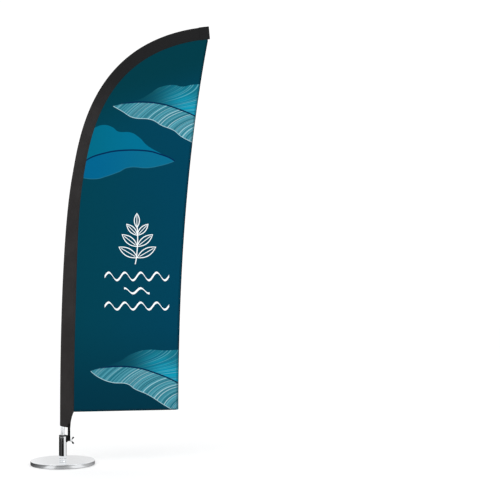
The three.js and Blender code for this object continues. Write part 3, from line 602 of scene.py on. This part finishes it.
mouth = np.array([-NOSE_FOOT, MOUTH_Z])
bend = np.array([BEND_REACH, MOUTH_Z + BEND_RISE])
tip = np.array([TIP_REACH, MOUTH_Z + TIP_RISE])
straight = np.linspace([-NOSE_FOOT, FOOT_Z], mouth, 60)
into_bend, from_bend = (leaning(BEND_LEAN, handle) for handle in BEND_HANDLES)
curl = bezier(mouth, mouth + leaning(0, MOUTH_HANDLE), bend - into_bend, bend)
crown = bezier(bend, bend + from_bend, tip - leaning(TIP_LEAN, TIP_HANDLE), tip)
luff = Path(np.vstack([straight, curl[1:], crown[1:]]))
MOUTH_S = MOUTH_Z - FOOT_Z
POLE_END_S = luff.length - POLE_SHORT


def smooth(low, high, value):
    t = min(max((value - low) / (high - low), 0), 1)
    return t * t * (3 - 2 * t)


def nose_at(s):
    return NOSE_FOOT - NOSE_TAPER * min(max(s / POLE_END_S, 0), 1)


def sleeve_width(s):
    """From the luff to the seam: it tapers to the mouth and is narrowest at the shoulder."""
    foot_s = MOUTH_S + FOOT_RISE
    if s < foot_s:
        up = (s - MOUTH_S) / FOOT_RISE
        flare = (SLEEVE_FOOT - SLEEVE_MOUTH) * up**1.9 if up > 0 else 5 * up
        return (SLEEVE_MOUTH + flare) * MM
    narrowed = (SLEEVE_FOOT - SLEEVE_SHOULDER) * smooth(0.28 * luff.length, 0.58 * luff.length, s)
    widened = (SLEEVE_TIP - SLEEVE_SHOULDER) * smooth(0.62 * luff.length, 0.92 * luff.length, s)
    return (SLEEVE_FOOT - narrowed + widened) * MM


def wrinkle(s, t, side):
    """How far the sleeve stands off its smooth shape. t runs from its seam flange to its nose."""
    pull = math.sin(2 * math.pi * (s / 0.16 + 0.9 * t) + 1.3 * side)
    fine = math.sin(2 * math.pi * (s / 0.043 - 1.4 * t) + 2.1 * side)
    gather = math.exp(-max(s - MOUTH_S, 0) / 0.12)
    curl = smooth(0.5, 0.75, s / luff.length)
    return math.sin(math.pi * t) * (0.45 * pull + (0.25 + 0.45 * gather + 0.35 * curl) * fine) * MM


def teardrop(s, grow, flange_half):
    """Half of the sleeve's section as (d, y) points, from the seam to the nose."""
    nose, width = nose_at(s), sleeve_width(s)
    leaving = math.acos(min(0.8, nose / (width - FLANGE - nose)))
    arc = [
        (nose + (nose + grow) * math.cos(a), (nose + grow) * math.sin(a))
        for a in np.linspace(leaving, math.pi, 14)
    ]
    hollow = [(width - FLANGE * k, flange_half) for k in (0, 0.5, 1)]
    start, end = np.array(hollow[-1]), np.array(arc[0])
    side = []
    for t in (0.06, 0.2, 0.4, 0.6, 0.8):
        d, y = start + (end - start) * t
        side.append((d, y - 0.9 * MM * math.sin(math.pi * t)))
    return hollow + side + arc


def around(s, grow=0.0, flange_half=1.1 * MM):
    """The sleeve's open section, from one side of the seam round the nose to the other."""
    half = teardrop(s, grow, flange_half)
    flange, nose = sleeve_width(s) - FLANGE, nose_at(s)
    faces = []
    for side in (1, -1):
        face = []
        for d, y in half:
            t = min(max((flange - d) / (flange - nose), 0), 1)
            face.append((d, side * (y + wrinkle(s, t, side))))
        faces.append(face)
    return faces[0] + faces[1][-2::-1]


def at_luff(s, d, y):
    spot, _, inward = luff.frame(s)
    x, z = spot + inward * d
    return (x, y, z)


# ------------------------------------------------------------------ cloth
LEECH_SHORT = 12 * MM  # the leech and the seam end this far before the luff does
LEECH_DROP = 84 * MM  # and the leech this far from it
LEECH_FOOT_LEAN, LEECH_FOOT_HANDLE = 0.2, 0.568
LEECH_TOP_LEAN, LEECH_TOP_HANDLE = 10.7, 0.882
foot_corner = np.array([0.722, MOUTH_Z + 98 * MM])
end_place, _, end_inward = luff.frame(luff.length - LEECH_SHORT)
leech_top = end_place + end_inward * LEECH_DROP
leech = Path(bezier(
    foot_corner,
    foot_corner + leaning(LEECH_FOOT_LEAN, LEECH_FOOT_HANDLE),
    leech_top - leaning(LEECH_TOP_LEAN, LEECH_TOP_HANDLE),
    leech_top,
))
SEAM_START, SEAM_END = MOUTH_S + FOOT_RISE, luff.length - LEECH_SHORT
SEAM_TUCK = 8 * MM  # how deep the panel goes in between the sleeve's layers
HEM = 14 * MM  # how wide a hem is
HEM_SHADE = 5 * MM  # how far in from the edge a hem's fold takes the heavier painted shade


def ripple(u, v):
    """How far the cloth stands off its plane. u runs from seam to leech, v from foot to tip."""
    slack = u**1.4 * max(1 - v, 0) ** 0.6
    wide = 4.2 * math.sin(2 * math.pi * (1.25 * v + 0.4 * u) + 0.5)
    small = 2.0 * math.sin(2 * math.pi * (3.2 * v - 0.9 * u) + 2.0)
    held = 1 - math.exp(-max(u, 0) / 0.02)
    pucker = 0.7 * held * math.exp(-max(u, 0) / 0.07) * math.sin(2 * math.pi * 52 * v)
    return (slack * (wide + small) + pucker) * MM


def cloth_point(u, v, lift=0.0):
    """A point of the flag between the seam and the leech."""
    s = SEAM_START + (SEAM_END - SEAM_START) * v
    spot, _, inward = luff.frame(s)
    seam = spot + inward * sleeve_width(s)
    edge, _, _ = leech.frame(leech.length * v)
    x, z = seam + (edge - seam) * u
    return np.array([x, ripple(u, v) + lift, z])


def panel_cut():
    """The panel's area as cut: its flat outline, up the tucked edge and down the leech."""
    seam, edge = [], []
    for v in np.linspace(0, 1, 120):
        s = SEAM_START + (SEAM_END - SEAM_START) * v
        spot, _, inward = luff.frame(s)
        seam.append(spot + inward * (sleeve_width(s) - SEAM_TUCK))
        edge.append(leech.frame(leech.length * v)[0])
    x, z = np.array(seam + edge[::-1]).T
    return abs(np.dot(x, np.roll(z, -1)) - np.dot(z, np.roll(x, -1))) / 2


def sleeve_cut():
    """The sleeve's area as cut: the length round its smooth section, times the run of cloth there."""
    area = 0
    stations = np.linspace(MOUTH_S, luff.length, 160)
    for low, high in zip(stations, stations[1:]):
        (start, _, start_in), (end, _, end_in) = luff.frame(low), luff.frame(high)
        half = teardrop((low + high) / 2, 0, 1.1 * MM)
        for (d0, y0), (d1, y1) in zip(half, half[1:]):
            d = (d0 + d1) / 2
            run = np.linalg.norm(end + end_in * d - start - start_in * d)
            area += 2 * math.hypot(d1 - d0, y1 - y0) * run
    return float(area)


def build_panel():
    """The printed panel, its edge tucked between the sleeve's two layers."""
    rows = []
    for v in np.linspace(0, 1, 230):
        row = [cloth_point(u, v) for u in np.linspace(0, 1, 60)]
        tucked = row[0] + (row[0] - row[1]) / np.linalg.norm(row[0] - row[1]) * SEAM_TUCK
        tucked[1] = 0
        rows.append([tucked, *row])
    panel = sheet_piece("flag_cloth", rows, PRINT, 0.5 * MM)
    return place(panel, "pole", "printed_fabric", "flag_panel")


def build_hem(name, edge_points, inner_points, node):
    """A strip folded over an edge of the flag, darkened by painted shade, most heavily round its fold.
    """
    rows = []
    for edge, inner in zip(edge_points, inner_points):
        back = (inner - edge) / np.linalg.norm(inner - edge)
        fold = [edge - back * 0.5 * MM * math.cos(a) + np.array([0, 0.55 * MM * math.sin(a), 0])
                for a in np.linspace(math.pi / 2, -math.pi / 2, 7)]
        sides = [[inner + out, edge + back * HEM_SHADE + out]
                 for out in (np.array([0, 0.5 * MM, 0]), np.array([0, -0.5 * MM, 0]))]
        rows.append([*sides[0], *fold, *reversed(sides[1])])
    hem = sheet_piece(name, rows, HEM_PRINT_SHADED, 0.35 * MM)
    hem.data.materials.append(HEM_FOLD_SHADE)
    across = len(rows[0]) - 1
    for k, polygon in enumerate(hem.data.polygons):
        # the faces round the fold take the heavier painted shade, the flat sides the lighter one
        polygon.material_index = 0 if k % across in (0, across - 1) else 1
    return place(hem, "pole", "printed_fabric", node)


def build_hems():
    stations = np.linspace(0.002, 0.997, 200)
    edge = [cloth_point(1, v) for v in stations]
    widths = [np.linalg.norm(cloth_point(0, v) - cloth_point(1, v)) for v in stations]
    inner = [cloth_point(1 - min(HEM / w, 0.8), v) for v, w in zip(stations, widths)]
    leech_hem = build_hem("leech_hem_fold", edge, inner, "leech_hem")
    rise = HEM / (SEAM_END - SEAM_START)
    stations = np.linspace(0.004, 0.976, 60)
    edge = [cloth_point(u, 0) for u in stations]
    inner = [cloth_point(u, rise) for u in stations]
    return leech_hem, build_hem("foot_hem_fold", edge, inner, "foot_hem")


def build_sleeve():
    """The sleeve: one strip folded round the pole, with a hemmed, slanting mouth."""
    hem_top = MOUTH_S + 21 * MM
    stations = [*np.linspace(MOUTH_S, hem_top, 10), hem_top + 0.6 * MM]
    stations += list(np.linspace(hem_top + 12 * MM, luff.length - 0.4 * MM, 250))
    rows = []
    for s in stations:
        drop = max(0, 1 - (s - MOUTH_S) / MOUTH_EASE)
        grow = 0.35 * MM if s <= hem_top - 0.1 * MM else 0.0
        row = []
        for d, y in around(s, grow):
            slant = TAIL_DROP * min(max(d / TAIL_D, 0), 1)
            row.append(at_luff(s - slant * drop, d, y))
        rows.append(row)
    sleeve = sheet_piece("pole_sleeve_cloth", rows, SLEEVE_CLOTH, 0.6 * MM, offset=-1)
    return place(sleeve, "pole", "sleeve_fabric", "pole_sleeve")


def build_tip_patch():
    """A cup of doubled cloth over the sleeve's end."""
    start, end = luff.length - 62 * MM, luff.length + 1.3 * MM
    rows = []
    for s in np.linspace(start, end, 16):
        inset = max(0, (s - (end - 4 * MM)) / (4 * MM))
        half = teardrop(s, (1.0 - 1.5 * inset**2) * MM, (2.1 - 0.9 * inset**2) * MM)
        half = [(half[0][0] + 1.3 * MM, 0)] + [(half[0][0] + 1.1 * MM, half[0][1])] + half
        ring = half + [(d, -y) for d, y in reversed(half[1:-1])]
        rows.append([at_luff(s, d, y) for d, y in ring])
    count = len(rows[0])
    points = [p for row in rows for p in row]
    last = (len(rows) - 1) * count
    pairs = count // 2
    cap = [(last, last + 1, last + count - 1)]
    for k in range(1, pairs - 1):
        cap.append((last + k, last + k + 1, last + count - k - 1, last + count - k))
    cap.append((last + pairs - 1, last + pairs, last + pairs + 1))
    faces = grid_faces(len(rows), count, wrap=True) + cap
    patch = new_piece("tip_patch_cloth", points, faces, SLEEVE_CLOTH)
    thicken = patch.modifiers.new("thickness", "SOLIDIFY")
    thicken.thickness, thicken.offset = 0.8 * MM, 1
    return place(patch, "pole", "sleeve_fabric", "tip_patch")


def stitched(name, lines, material, pitch=4.4 * MM):
    """Rows of stitches. Each line is its side, 1 for the +Y face or -1, and its points."""
    points, faces = [], []
    half, wide, high = 1.7 * MM, 0.42 * MM, 0.4 * MM
    for face, line in lines:
        line = np.array(line)
        out = np.array([0, face, 0])
        steps = np.linalg.norm(np.diff(line, axis=0), axis=1)
        at = np.concatenate([[0], np.cumsum(steps)])
        for s in np.arange(pitch, at[-1] - pitch, pitch):
            spot, ahead = (
                np.array([np.interp(q, at, line[:, k]) for k in range(3)]) for q in (s, s + MM)
            )
            along = (ahead - spot) / np.linalg.norm(ahead - spot)
            side = np.cross(along, out)
            base = len(points)
            for t, swell in ((-1, 0.3), (0, 1), (1, 0.3)):
                middle = spot + along * half * t
                points += [middle + side * wide * swell, middle - side * wide * swell,
                           middle + out * high * swell]
            for k in (0, 3):
                for a, b in ((0, 1), (1, 2), (2, 0)):
                    faces.append((base + k + a, base + k + b, base + k + 3 + b, base + k + 3 + a))
            faces += [(base, base + 1, base + 2), (base + 6, base + 7, base + 8)]
    return new_piece(name, points, faces, material)


def build_seam_stitches():
    """Two rows down the seam, and two round the mouth, on both faces."""
    stations = np.linspace(MOUTH_S + 12 * MM, luff.length - 66 * MM, 300)
    lines = [
        (side, [at_luff(s, sleeve_width(s) - inset, side * 1.12 * MM) for s in stations])
        for inset in (2.5 * MM, 12.5 * MM)
        for side in (1, -1)
    ]
    for s in (MOUTH_S + 14 * MM, MOUTH_S + 18 * MM):
        reach = np.linspace(nose_at(s), sleeve_width(s) - 18 * MM, 12)
        for side in (1, -1):
            surface = [(d, y) for d, y in around(s, 0.35 * MM) if y * side > 0]
            surface.sort()
            ys = np.interp(reach, *zip(*surface))
            slants = [TAIL_DROP * d / TAIL_D * (1 - (s - MOUTH_S) / MOUTH_EASE) for d in reach]
            lines.append((side, [at_luff(s - slant, d, y) for d, y, slant in zip(reach, ys, slants)]))
    return place(stitched("seam_stitches", lines, BLACK_THREAD), "pole", "sleeve_fabric")


def build_hem_stitches():
    """Two rows along the leech and the foot, on both faces."""
    lines = []
    for side in (1, -1):
        for inset in (4 * MM, 11 * MM):
            line = []
            for v in np.linspace(0.012, 0.985, 240):
                width = np.linalg.norm(cloth_point(0, v) - cloth_point(1, v))
                line.append(cloth_point(1 - inset / width, v, side * 0.72 * MM))
            lines.append((side, line))
            rise = inset / (SEAM_END - SEAM_START)
            line = [cloth_point(u, rise, side * 0.72 * MM) for u in np.linspace(0.01, 0.975, 80)]
            lines.append((side, line))
    return place(stitched("hem_stitches", lines, TEAL_THREAD), "pole", "printed_fabric")


# ------------------------------------------------------------------ strap, pole and hardware
SCREW_Z = (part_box("captive_nut")[0].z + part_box("captive_nut")[1].z) / 2
SCREW_RADIUS = 4 * MM
STRAP_LEAN = 0.12  # how much the strap's sewn end leans with the sleeve, per metre up


def build_strap():
    """An elastic loop round the screw, its ends sewn over both faces of the sleeve's tail."""
    low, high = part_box("tension_strap")
    join_z, tail_z, top_z = SCREW_Z + 50 * MM, MOUTH_Z - TAIL_DROP, MOUTH_Z + 10 * MM
    loop = SCREW_RADIUS + 1.3 * MM
    path = [(1.95 * MM, z) for z in np.linspace(top_z, tail_z + 2 * MM, 7)]
    path += [(1.4 * MM, tail_z - 4 * MM), (0.85 * MM, tail_z - 9 * MM), (0.75 * MM, join_z + 8 * MM)]
    path += [(0.75 * MM + (loop - 0.75 * MM) * smooth(0, 1, t), join_z + (SCREW_Z - join_z) * t)
             for t in np.linspace(0, 1, 10)]
    path += [(loop * math.cos(a), SCREW_Z - loop * math.sin(a))
             for a in np.linspace(0.2, math.pi / 2, 7)]
    path += [(-y, z) for y, z in reversed(path[:-1])]
    rows = []
    for y, z in path:
        follow = STRAP_LEAN * max(0, z - tail_z)
        rows.append([(x + follow, y, z) for x in np.linspace(low.x, high.x, 9)])
    strap = sheet_piece("tension_strap_webbing", rows, WEBBING, 1.25 * MM)
    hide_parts("tension_strap")
    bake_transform(strap)


def build_strap_stitches():
    """A box of stitches with one diagonal, where the strap meets the sleeve."""
    low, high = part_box("tension_strap")
    bottom, top = MOUTH_Z - TAIL_DROP + 2 * MM, MOUTH_Z + 8 * MM
    left, right = low.x + 2.5 * MM, high.x - 2.5 * MM
    shift = STRAP_LEAN * (top - (MOUTH_Z - TAIL_DROP))
    lines = []
    for side in (1, -1):
        y = side * 2.62 * MM
        corners = [(left, y, bottom), (right, y, bottom),
                   (right + shift, y, top), (left + shift, y, top)]
        route = [0, 1, 2, 3, 0, 2]
        for a, b in zip(route, route[1:]):
            lines.append((side, np.linspace(corners[a], corners[b], 6)))
    place(stitched("strap_stitches", lines, BLACK_THREAD, 2.6 * MM), "pole", "webbing")


def build_pole():
    """The aluminium foot section, a tube with its ends' edges broken."""
    radius, wall = 14 * MM, 2 * MM
    rows = []
    stations = [3.0 * MM, 3.3 * MM, *np.linspace(12 * MM, POLE_END_S / 4 - 1 * MM, 70), POLE_END_S / 4]
    outline = [(s, radius - (0.3 * MM if s in (stations[0], stations[-1]) else 0)) for s in stations]
    outline += [(s, radius - wall) for s in reversed(stations)]
    for s, r in outline:
        rows.append([at_luff(s, nose_at(s) + r * math.cos(a), r * math.sin(a))
                     for a in np.linspace(0, 2 * math.pi, 48, endpoint=False)])
    rows.append(rows[0])
    points = [p for row in rows for p in row]
    pole = new_piece("pole_foot_section", points, grid_faces(len(rows), 48, wrap=True), BRIGHT, 40)
    place(pole, "pole", "aluminium", "pole_section_1")


def ring_profile(inner, outer, low, high, radius=0.4 * MM):
    return eased([(inner, low), (outer, low), (outer, high), (inner, high)], radius)


def build_base():
    low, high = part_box("base_cover")
    rim, top = high.x, high.z - 0.6 * MM
    shoulder, wall = 4 * MM, 1.5 * MM
    arc = [(rim - shoulder + shoulder * math.cos(a), top - shoulder + shoulder * math.sin(a))
           for a in np.linspace(0, math.pi / 2, 14)]
    inner = [(r - wall * math.cos(a), z - wall * math.sin(a))
             for (r, z), a in zip(arc, np.linspace(0, math.pi / 2, 14))]
    seat = [(28 * MM, top), (27.6 * MM, top + 0.12 * MM), (27.2 * MM, top + 0.48 * MM),
            (26.8 * MM, high.z)]
    profile = [(rim - wall, low.z), (rim - wall + 0.5 * MM, low.z), (rim - 0.4 * MM, low.z),
               (rim - 0.1 * MM, low.z + 0.15 * MM), (rim, low.z + 0.5 * MM)]
    profile += arc + [(120 * MM, top), (60 * MM, top)] + seat
    profile += [(6.3 * MM, high.z), (6.3 * MM, top - wall)] + inner[::-1]
    cover = turned("base_cover_chrome", profile, CHROME, 256)
    place(cover, "base", "chrome", "base_cover")

    foot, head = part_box("axle")
    boss, shoulder_top = foot.z + 10 * MM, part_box("lower_bearing_inner_ring")[0].z
    profile = [(0, foot.z + 22.3 * MM), (6.3 * MM, foot.z + 22.3 * MM), (6.3 * MM, foot.z)]
    profile += [(23.2 * MM, foot.z), (24 * MM, foot.z + 0.8 * MM), (24 * MM, boss - 1.2 * MM),
                (23.65 * MM, boss - 0.35 * MM), (22.8 * MM, boss), (11 * MM, boss)]
    profile += [(11 * MM, shoulder_top), (8.5 * MM, shoulder_top), (8.5 * MM, head.z - MM),
                (7.5 * MM, head.z), (0, head.z)]
    axle = turned("axle_chrome", profile, CHROME, 128)
    place(axle, "base", "chrome", "axle")


def build_socket():
    low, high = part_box("socket_tube")
    profile = ring_profile(20 * MM, 24 * MM, low.z, high.z, 0.8 * MM)
    tube = turned("socket_tube_chrome", profile, CHROME)
    place(tube, "socket", "chrome", "socket_tube")

    low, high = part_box("pole_socket")
    bore, body, lip, tube_top = 14.3 * MM, 19.7 * MM, 24.3 * MM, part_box("socket_tube")[1].z
    profile = [(0, low.z), (body - MM, low.z), (body, low.z + MM), (body, tube_top),
               (lip - 0.3 * MM, tube_top), (lip, tube_top + 0.4 * MM), (lip, high.z - 1.6 * MM),
               (lip - 0.4 * MM, high.z - 0.6 * MM), (lip - 1.6 * MM, high.z),
               (bore + 1.6 * MM, high.z), (bore + 0.4 * MM, high.z - 0.5 * MM),
               (bore, high.z - 1.8 * MM), (bore, FOOT_Z), (0, FOOT_Z)]
    liner = turned("socket_liner", profile, NYLON, 96)
    inner_x, outer_x, half = lip - 0.1 * MM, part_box("pole_socket")[1].x, 10 * MM
    bottom, top = low.z + 27.5 * MM, high.z - 1.5 * MM
    outline = eased([(half, bottom), (half, top), (-half, top), (-half, bottom)], 4.5 * MM, 6)
    slices = [(inner_x - 3.4 * MM, 0), (outer_x - 1.2 * MM, 0), (outer_x - 0.3 * MM, 0.5 * MM),
              (outer_x, 1.4 * MM)]
    middle = (top + bottom) / 2
    rings = [(x, y * (1 - shrink / half), middle + (z - middle) * (1 - shrink / (middle - bottom)))
             for x, shrink in slices for y, z in outline]
    count = len(outline)
    lug = new_piece("lug", rings, capped(4, count), NYLON, 40)
    liner = joined("socket_liner_nylon", [liner, lug])
    place(liner, "socket", "nylon", "pole_socket")


def build_wing_screw():
    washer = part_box("screw_washer")
    profile = ring_profile(4.3 * MM, 9 * MM, washer[0].x, washer[1].x, 0.3 * MM)
    disc = turned("screw_washer_plated", profile, STEEL, 64, SCREW_Z)
    place(disc, "screw_seat", "steel", "screw_washer")

    start, hub_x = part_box("wing_screw")[0].x, washer[1].x
    profile = [(0, start), (3.0 * MM, start), (3.6 * MM, start + 0.6 * MM)]
    pitch = 1.25 * MM
    for k in range(int((hub_x - start - 2 * MM) / pitch)):
        x = start + MM + k * pitch
        profile += [(SCREW_RADIUS, x), (SCREW_RADIUS, x + 0.2 * pitch), (3.4 * MM, x + 0.6 * pitch)]
    hub = [(SCREW_RADIUS, hub_x), (6.9 * MM, hub_x), (7.5 * MM, hub_x + 0.6 * MM),
           (7.5 * MM, hub_x + 4 * MM), (6.6 * MM, hub_x + 7.6 * MM), (5.2 * MM, hub_x + 9 * MM),
           (0, hub_x + 9.2 * MM)]
    shank = turned("shank", profile + hub, CHROME, 48, SCREW_Z, 50)
    parts = [shank]
    tip_out, tip_up, tip_radius = 16 * MM, 17.5 * MM, 6.5 * MM
    for side in (1, -1):
        tip_arc = [(tip_out + tip_radius * math.cos(a), side * (tip_up + tip_radius * math.sin(a)))
                   for a in np.linspace(-0.28 * math.pi, 0.86 * math.pi, 18)]
        root = side * 0.4 * MM  # inside the hub, and clear of the other wing
        outline = [(1.5 * MM, root), (8.5 * MM, root), (11 * MM, side * 4.5 * MM),
                   (16.5 * MM, side * 10 * MM)]
        outline += tip_arc + [(6.5 * MM, side * 9.5 * MM), (2.5 * MM, side * 5 * MM)]
        count = len(outline)
        middle = np.mean(outline, axis=0)
        points = []
        for y, shrink in ((-2.0, 0.86), (-1.75, 0.94), (-1.0, 1), (1.0, 1), (1.75, 0.94), (2.0, 0.86)):
            for x, z in middle + (np.array(outline) - middle) * shrink:
                points.append((hub_x + x, y * MM, SCREW_Z + z))
        parts.append(new_piece("wing", points, capped(6, count), CHROME, 60))
    place(joined("wing_screw_chrome", parts), "screw", "chrome", "wing_screw")


# ------------------------------------------------------------------ studio
def reflector(name, rows, shades):
    """A card that only reflections see, with a shade at each of its points."""
    mesh = bpy.data.meshes.new(name)
    points = [p for row in rows for p in row]
    faces = grid_faces(len(rows), len(rows[0]))
    mesh.from_pydata([tuple(map(float, p)) for p in points], [], faces)
    shade = mesh.attributes.new("shade", "FLOAT", "POINT")
    shade.data.foreach_set("value", [v for row in shades for v in row])
    look = Look(name, (0, 0, 0, 1))
    reading = look.add("ShaderNodeAttribute", attribute_name="shade")
    look.tree.links.new(reading.outputs["Fac"], look.shader.inputs["Emission Strength"])
    look.shader.inputs["Emission Color"].default_value = (1, 1, 1, 1)
    look.shader.inputs["Specular IOR Level"].default_value = 0
    mesh.materials.append(look.material)
    card = bpy.data.objects.new(name, mesh)
    bpy.context.collection.objects.link(card)
    for ray in ("camera", "diffuse", "shadow", "transmission", "volume_scatter"):
        setattr(card, "visible_" + ray, False)


# Shades that the chrome reflects, as (degrees from the front towards +X, shade). The rim sees the
# floor close by, and the tubes see it further out.
RIM_SHADES = [(-180, 0.5), (-120, 0.3), (-100, 0.07), (-75, 0.09), (-50, 0.22), (-36, 0.4), (-28, 1),
              (-13, 1), (-7, 0.5), (5, 0.42), (18, 0.5), (26, 0.75), (31, 1), (52, 1), (60, 0.6),
              (85, 0.4), (105, 0.25), (125, 0.4), (180, 0.5)]
TUBE_SHADES = [(-180, 0.6), (-150, 0.05), (-138, 0.008), (-72, 0.012), (-60, 0.075), (-18, 0.07),
               (-9, 0.006), (35, 0.006), (46, 0.9), (52, 1), (100, 1), (112, 0.45), (150, 0.35),
               (180, 0.6)]
# The card behind, which the base's top reflects, as (x, shade).
BACK_SHADES = [(-0.6, 1.0), (-0.38, 0.98), (-0.27, 0.88), (-0.1, 0.84), (0.1, 0.88), (0.5, 0.94)]


def build_reflections():
    """A ring of shades on the floor round the base, and a card behind it."""
    rows, shades = [], []
    for angle in np.arange(-180, 181, 3):
        near, far = (np.interp(angle, *zip(*table)) for table in (RIM_SHADES, TUBE_SHADES))
        turn = math.radians(angle)
        rings = [(0.204, near), (0.31, near), (0.345, far), (1.31, far), (1.35, 1.0)]
        rows.append([(r * math.sin(turn), -r * math.cos(turn), MM) for r, _ in rings])
        shades.append([shade for _, shade in rings])
    reflector("floor_reflection", rows, shades)
    rows = [[(x, 1.1, z) for x, _ in BACK_SHADES] for z in (0.08, 0.5)]
    reflector("back_reflection", rows, [[shade for _, shade in BACK_SHADES]] * 2)


def build_studio():
    size = 16
    look = Look("floor", rgb(252, 252, 252), 0.9, Specular_IOR_Level=0)
    corners = [(-size, -size, 0), (size, -size, 0), (size, size, 0), (-size, size, 0)]
    new_piece("floor", corners, [(0, 1, 2, 3)], look.material)
    world = bpy.data.worlds.new("studio")
    bpy.context.scene.world = world
    world.use_nodes = True
    world.node_tree.nodes["Background"].inputs["Color"].default_value = (1, 1, 1, 1)
    world.node_tree.nodes["Background"].inputs["Strength"].default_value = 1.06
    for name, spot, turn, width, power in (
        ("key", (-3.2, -5.5, 4.6), (54, 0, -36), 3.5, 60),
        ("fill", (5.0, -5.0, 3.2), (64, 0, 46), 4.0, 60),
    ):
        lamp = bpy.data.lights.new(name, "AREA")
        lamp.size, lamp.energy = width, power
        light = bpy.data.objects.new(name, lamp)
        light.location = spot
        light.rotation_euler = [math.radians(a) for a in turn]
        bpy.context.collection.objects.link(light)
    build_reflections()


def build_camera():
    """Level, looking along +Y, as high as the middle of the picture."""
    distance, seen = 8.5, 3.125
    camera = bpy.data.cameras.new("camera")
    camera.lens = camera.sensor_width * distance / seen
    holder = bpy.data.objects.new("camera", camera)
    holder.location = (1.17, -distance, 1.34)
    holder.rotation_euler = (math.pi / 2, 0, 0)
    bpy.context.collection.objects.link(holder)
    bpy.context.scene.camera = holder
    bpy.context.scene.view_settings.view_transform = "Standard"


build_camera()
build_studio()
build_base()
build_socket()
build_wing_screw()
build_pole()
panel = build_panel()
hems = build_hems()
sleeve = build_sleeve()
patch = build_tip_patch()
seam_stitches = build_seam_stitches()
hem_stitches = build_hem_stitches()
build_strap()
build_strap_stitches()

panel_cut()
sleeve_cut()
